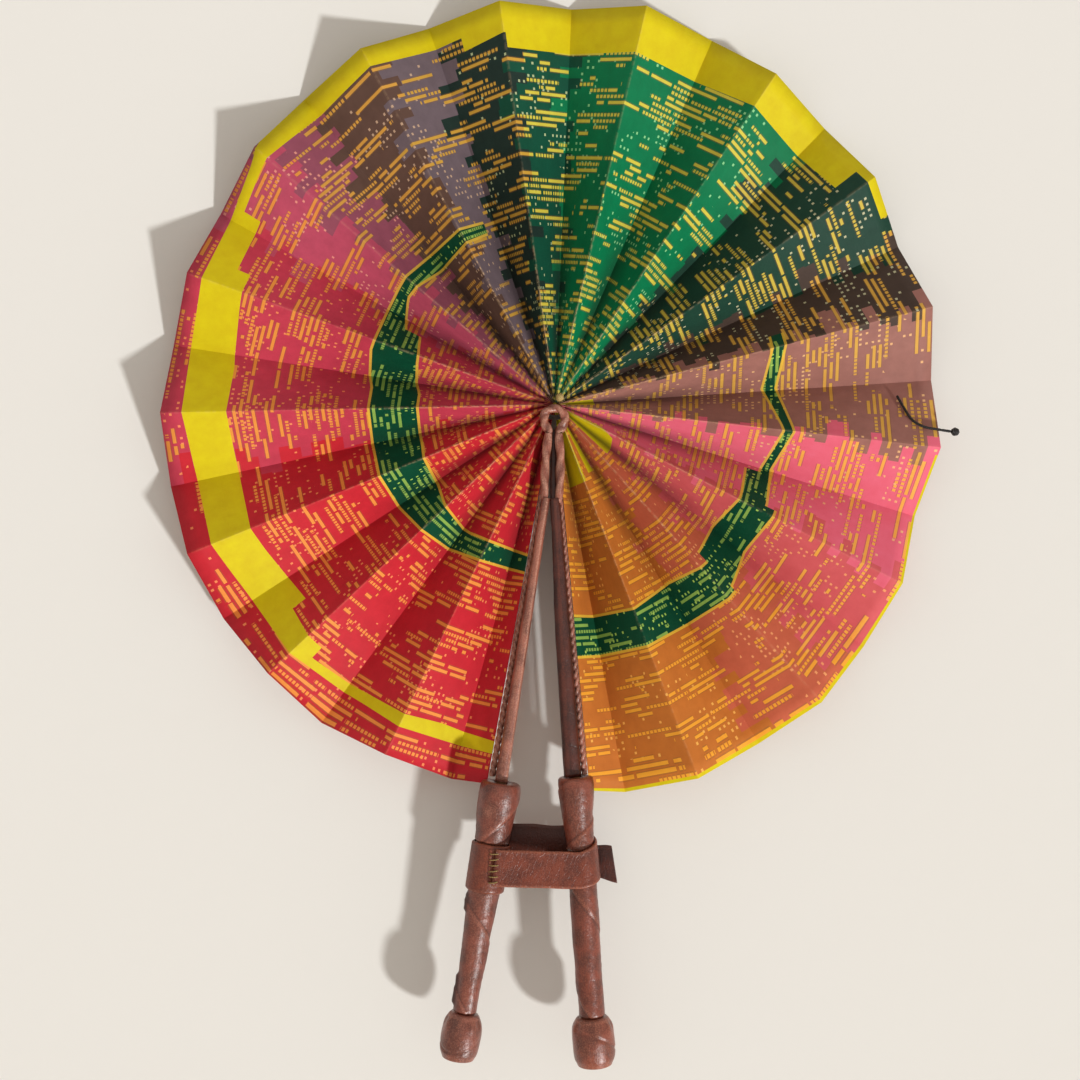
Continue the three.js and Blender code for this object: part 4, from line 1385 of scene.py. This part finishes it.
def make_hub(cloth):
    """The gathered inner edge of the cloth, drawn into a puckered button on the fold centre: its front
    rises by 1.5 x (1 - (distance / hub radius) squared), with a pleat wave of one ridge per pleat."""
    share = np.concatenate([np.linspace(0.04, 1, 16), np.linspace(0.94, 0.04, 8)])[:, None]
    turn = turns(264, -math.pi)
    front = (np.arange(24) < 16)[:, None]
    pleat = np.cos(HUB_RIDGES * turn)
    radius = HUB_RADIUS * share * (1 + 0.03 * pleat * share)
    rise = np.where(front, -0.5 - 1.5 * (1 - share ** 2) - 0.35 * pleat * np.minimum(share * 2, 1), 0.9)
    rise = rise + 0.7 * bell(share - 0.35, 0.12) * front
    grid = np.stack([
        FOLD_CENTRE[0] + radius * np.sin(turn), rise, FOLD_CENTRE[2] + radius * np.cos(turn),
    ], -1)
    depth_in = (LEAF_RADIUS - radius) / LEAF_RADIUS
    strip = np.stack(np.broadcast_arrays(at_angle(np.degrees(turn)), depth_in), -1)
    sink = np.broadcast_to(0.5 - 0.5 * pleat, radius.shape)
    hub = ring_piece("gathered_middle", grid, cloth, strip, {"ridge": 2 * sink, "sink": sink})
    place(hub, "guard_left", "cloth_mauve")
    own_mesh(hub)


def make_eye_knot(thread):
    """A small wound knot of tan thread over the eye, where the gathering thread is tied off."""
    way, front = np.array([0.5, 0.0, 0.866]), np.array([0.0, -1.0, 0.0])
    knot = knot_piece("eye_thread_knot", EYE_KNOT_CENTRE, way, front, thread)
    place(knot, "guard_left", "leather_pale")


# Strap

STRAP_CENTRE = axis_point(1, STRAP_STATION)
HANDLE_DOWN = axis_frame(1)[0]
HANDLE_SLOPE = HANDLE_DOWN[0] / -HANDLE_DOWN[2]
STRAP_TURN = GRIP_AT_STRAP + STRAP_HANDLE_CLEARANCE + STRAP_THICKNESS / 2
SLEEVE_REACH = SLEEVE_RADIUS + GAP + STRAP_THICKNESS / 2


def band_outline(inset):
    """Outline across a band: share of its width from its middle, and how far out to either side, with
    round edges."""
    ends = np.linspace(math.pi / 2, -math.pi / 2, 7)[1:-1]
    flat = np.linspace(-1, 1, 19) * (1 - inset)
    edge = 1 - inset + inset * np.cos(ends)
    share = np.concatenate([flat, edge, flat[::-1], -edge])
    out = np.concatenate([np.ones(19), np.sin(ends), -np.ones(19), -np.sin(ends)])
    return share, out


def band_skin(route, widths, thickness, wave, seed):
    """A flat band standing on edge along a route of (x, y, lift). Across it, each point is
    rise = lift + share x width / 2, moved by the side way x half the thickness, which swells at
    the turned-in edges; the band leans with whichever handle is nearer."""
    way = unit(np.gradient(route[:, :2], axis=0))
    side = np.stack([-way[:, 1], way[:, 0]], -1)
    share, out = band_outline(thickness / 2 / (np.mean(widths) / 2))
    hem = 1 - 0.22 * eased(0.86 - np.abs(share), 0, 0.08)
    travelled = travelled_along(route[:, :2])[:, None]
    bend = wave * ripple(travelled / 11, share[None, :] * 1.3, seed, 4, 1, 2)
    push = (out * hem)[None, :] * thickness / 2 + bend
    edge = 1 + 0.02 * ripple(travelled / 5, np.sign(share)[None, :], seed + 3, 4, 1, 2)
    rise = route[:, 2:3] + share[None, :] * widths[:, None] / 2 * edge
    lean = HANDLE_SLOPE * route[:, 0:1] / STRAP_CENTRE[0]
    x = route[:, 0:1] + push * side[:, 0:1] - lean * rise
    y = route[:, 1:2] + push * side[:, 1:2]
    wear = np.broadcast_to(0.9 * eased(np.abs(share), 0.84, 0.97), x.shape)
    # Painted shade: the face on the inside of the loop is darkened
    soil = np.broadcast_to(eased(out, 0.0, 0.6), x.shape)
    return np.stack([x, y, STRAP_CENTRE[2] + rise], -1), {"wear": wear, "soil": soil}


def make_sleeve(material):
    """The sleeve of the strap round the left handle."""
    table = [(SLEEVE_RADIUS, SLEEVE_TOP), (SLEEVE_RADIUS, SLEEVE_TOP + SLEEVE_LENGTH)]
    rings, marks = wound_tube(-1, table, SLEEVE_BORE, SLEEVE_WRAP, (34, 100))
    sleeve = tube_piece("strap_sleeve_wrap", rings, marks, material)
    place(sleeve, "strap", "leather_brown", "strap_sleeve")


def strap_path():
    """Middle line of the strap: straight from the seam, round the right handle while it climbs, and
    straight back to the seam."""
    bend = [
        (STRAP_CENTRE[0] + STRAP_TURN * math.cos(t), GUARD_Y + STRAP_TURN * math.sin(t), STRAP_LIFT * k / 10)
        for k, t in enumerate(np.radians(np.linspace(-96, 93, 11)))
    ]
    front = (STRAP_SEAM_X, GUARD_Y - SLEEVE_REACH, 0.0)
    back = (STRAP_SEAM_X, GUARD_Y + SLEEVE_REACH, STRAP_LIFT)
    return np.concatenate([
        np.linspace(front, bend[0], 24, endpoint=False), smooth_path(bend, 30)[:-1],
        np.linspace(bend[-1], back, 24),
    ])


def make_loop(material):
    """The strap that is sewn to the sleeve and goes round the right handle."""
    path = strap_path()
    grid, marks = band_skin(path, np.full(len(path), STRAP_WIDTH), STRAP_THICKNESS, 0.10, 7)
    loop = ring_piece("strap_band", grid, material, marks=marks)
    place(loop, "strap", "leather_brown", "strap_loop")
    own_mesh(loop)


def make_tail(material):
    """The strap's dark loose end behind the loop, a little narrower where it leaves the handle."""
    y = GUARD_Y + STRAP_TURN + STRAP_THICKNESS + GAP
    route = smooth_path([
        (STRAP_CENTRE[0] + 1, y, 2.4), (STRAP_CENTRE[0] + 7, y - 0.2, 1.6), (TAIL_END_X, y - 1.4, 0.4),
    ], 26)
    widths = TAIL_WIDTH * (0.86 + 0.14 * eased(np.linspace(0, 1, 26), 0.35, 0.95))
    grid, marks = band_skin(route, widths, STRAP_THICKNESS, 0.16, 17)
    tail = ring_piece("strap_tail_flap", grid, material, marks={"wear": marks["wear"] * 0.5})
    place(tail, "strap", "leather_dark", "strap_tail")
    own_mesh(tail)


def make_stitches(material):
    """Short thread stitches over the seam of the strap: each is a small tube along an arc from the
    sleeve, over the strap's edge, to its face."""
    points, faces, strips = [], [], []
    reach = STRAP_WIDTH / 2
    heights = np.linspace(
        STRAP_CENTRE[2] + reach - STITCH_INSET, STRAP_CENTRE[2] - reach + STITCH_INSET, STITCHES,
    )
    x, y = STRAP_SEAM_X, GUARD_Y - SLEEVE_REACH - STRAP_THICKNESS / 2
    for k, z in enumerate(heights):
        slope = 0.45 if k % 2 else 0.2
        path = smooth_path([
            (x - 2.3, y + 1.75, z - slope), (x - 0.9, y - 0.10, z - 0.3 * slope),
            (x + 0.9, y - 0.32, z + 0.3 * slope), (x + 2.1, y + 0.35, z + slope),
        ], 9)
        grid, strip, _ = twisted_tube(path, np.full(9, 0.3), 1.4, 8, 0.15)
        spots, polygons = capped_rings(grid)
        faces += [[corner + len(points) for corner in polygon] for polygon in polygons]
        strips.append(with_ends(strip))
        points += spots.tolist()
    piece = make_mesh("strap_stitches", points, faces, material, np.concatenate(strips))
    place(piece, "strap", "leather_pale")


def main():
    """Builds every piece that stands for a part of the fan, and sets the camera, lamps and room."""
    scene = bpy.context.scene
    scene.view_settings.view_transform = "Standard"
    make_camera()
    twist = thread_group()
    black = thread_material("waxed_black_thread", twist, *BLACK_THREAD)
    make_tie(black)
    make_lamps()
    make_backdrop()
    cloth = cloth_material(print_group())
    for i in range(PANEL_COUNT):
        make_panel(i, cloth)
    hide = leather_group()
    leathers = {key: leather_material(row[0], hide, *row[1:]) for key, row in LEATHERS.items()}
    for hand, handle in HANDLES.items():
        make_cover(hand, handle, leathers[handle["cover_leather"]])
        make_piping(hand, handle, leathers["pale"])
        make_handle(hand, handle, leathers)
    make_eye_arch(leathers["pale"])
    for hand, handle in HANDLES.items():
        make_eye_end(hand, handle["side"], leathers["pale"])
    make_cover_tongue(leathers["dark"])
    make_hub(cloth)
    stitch = thread_material("waxed_linen_thread", twist, *LINEN_THREAD)
    make_sleeve(leathers["strap"])
    make_loop(leathers["strap"])
    make_tail(leathers["dark"])
    make_stitches(stitch)
    make_eye_knot(stitch)
    wood = wood_material()
    for hand in HANDLES:
        rod = bpy.data.objects[f"guard_rod_{hand}"]
        for slot in rod.material_slots:
            slot.material = wood


main()
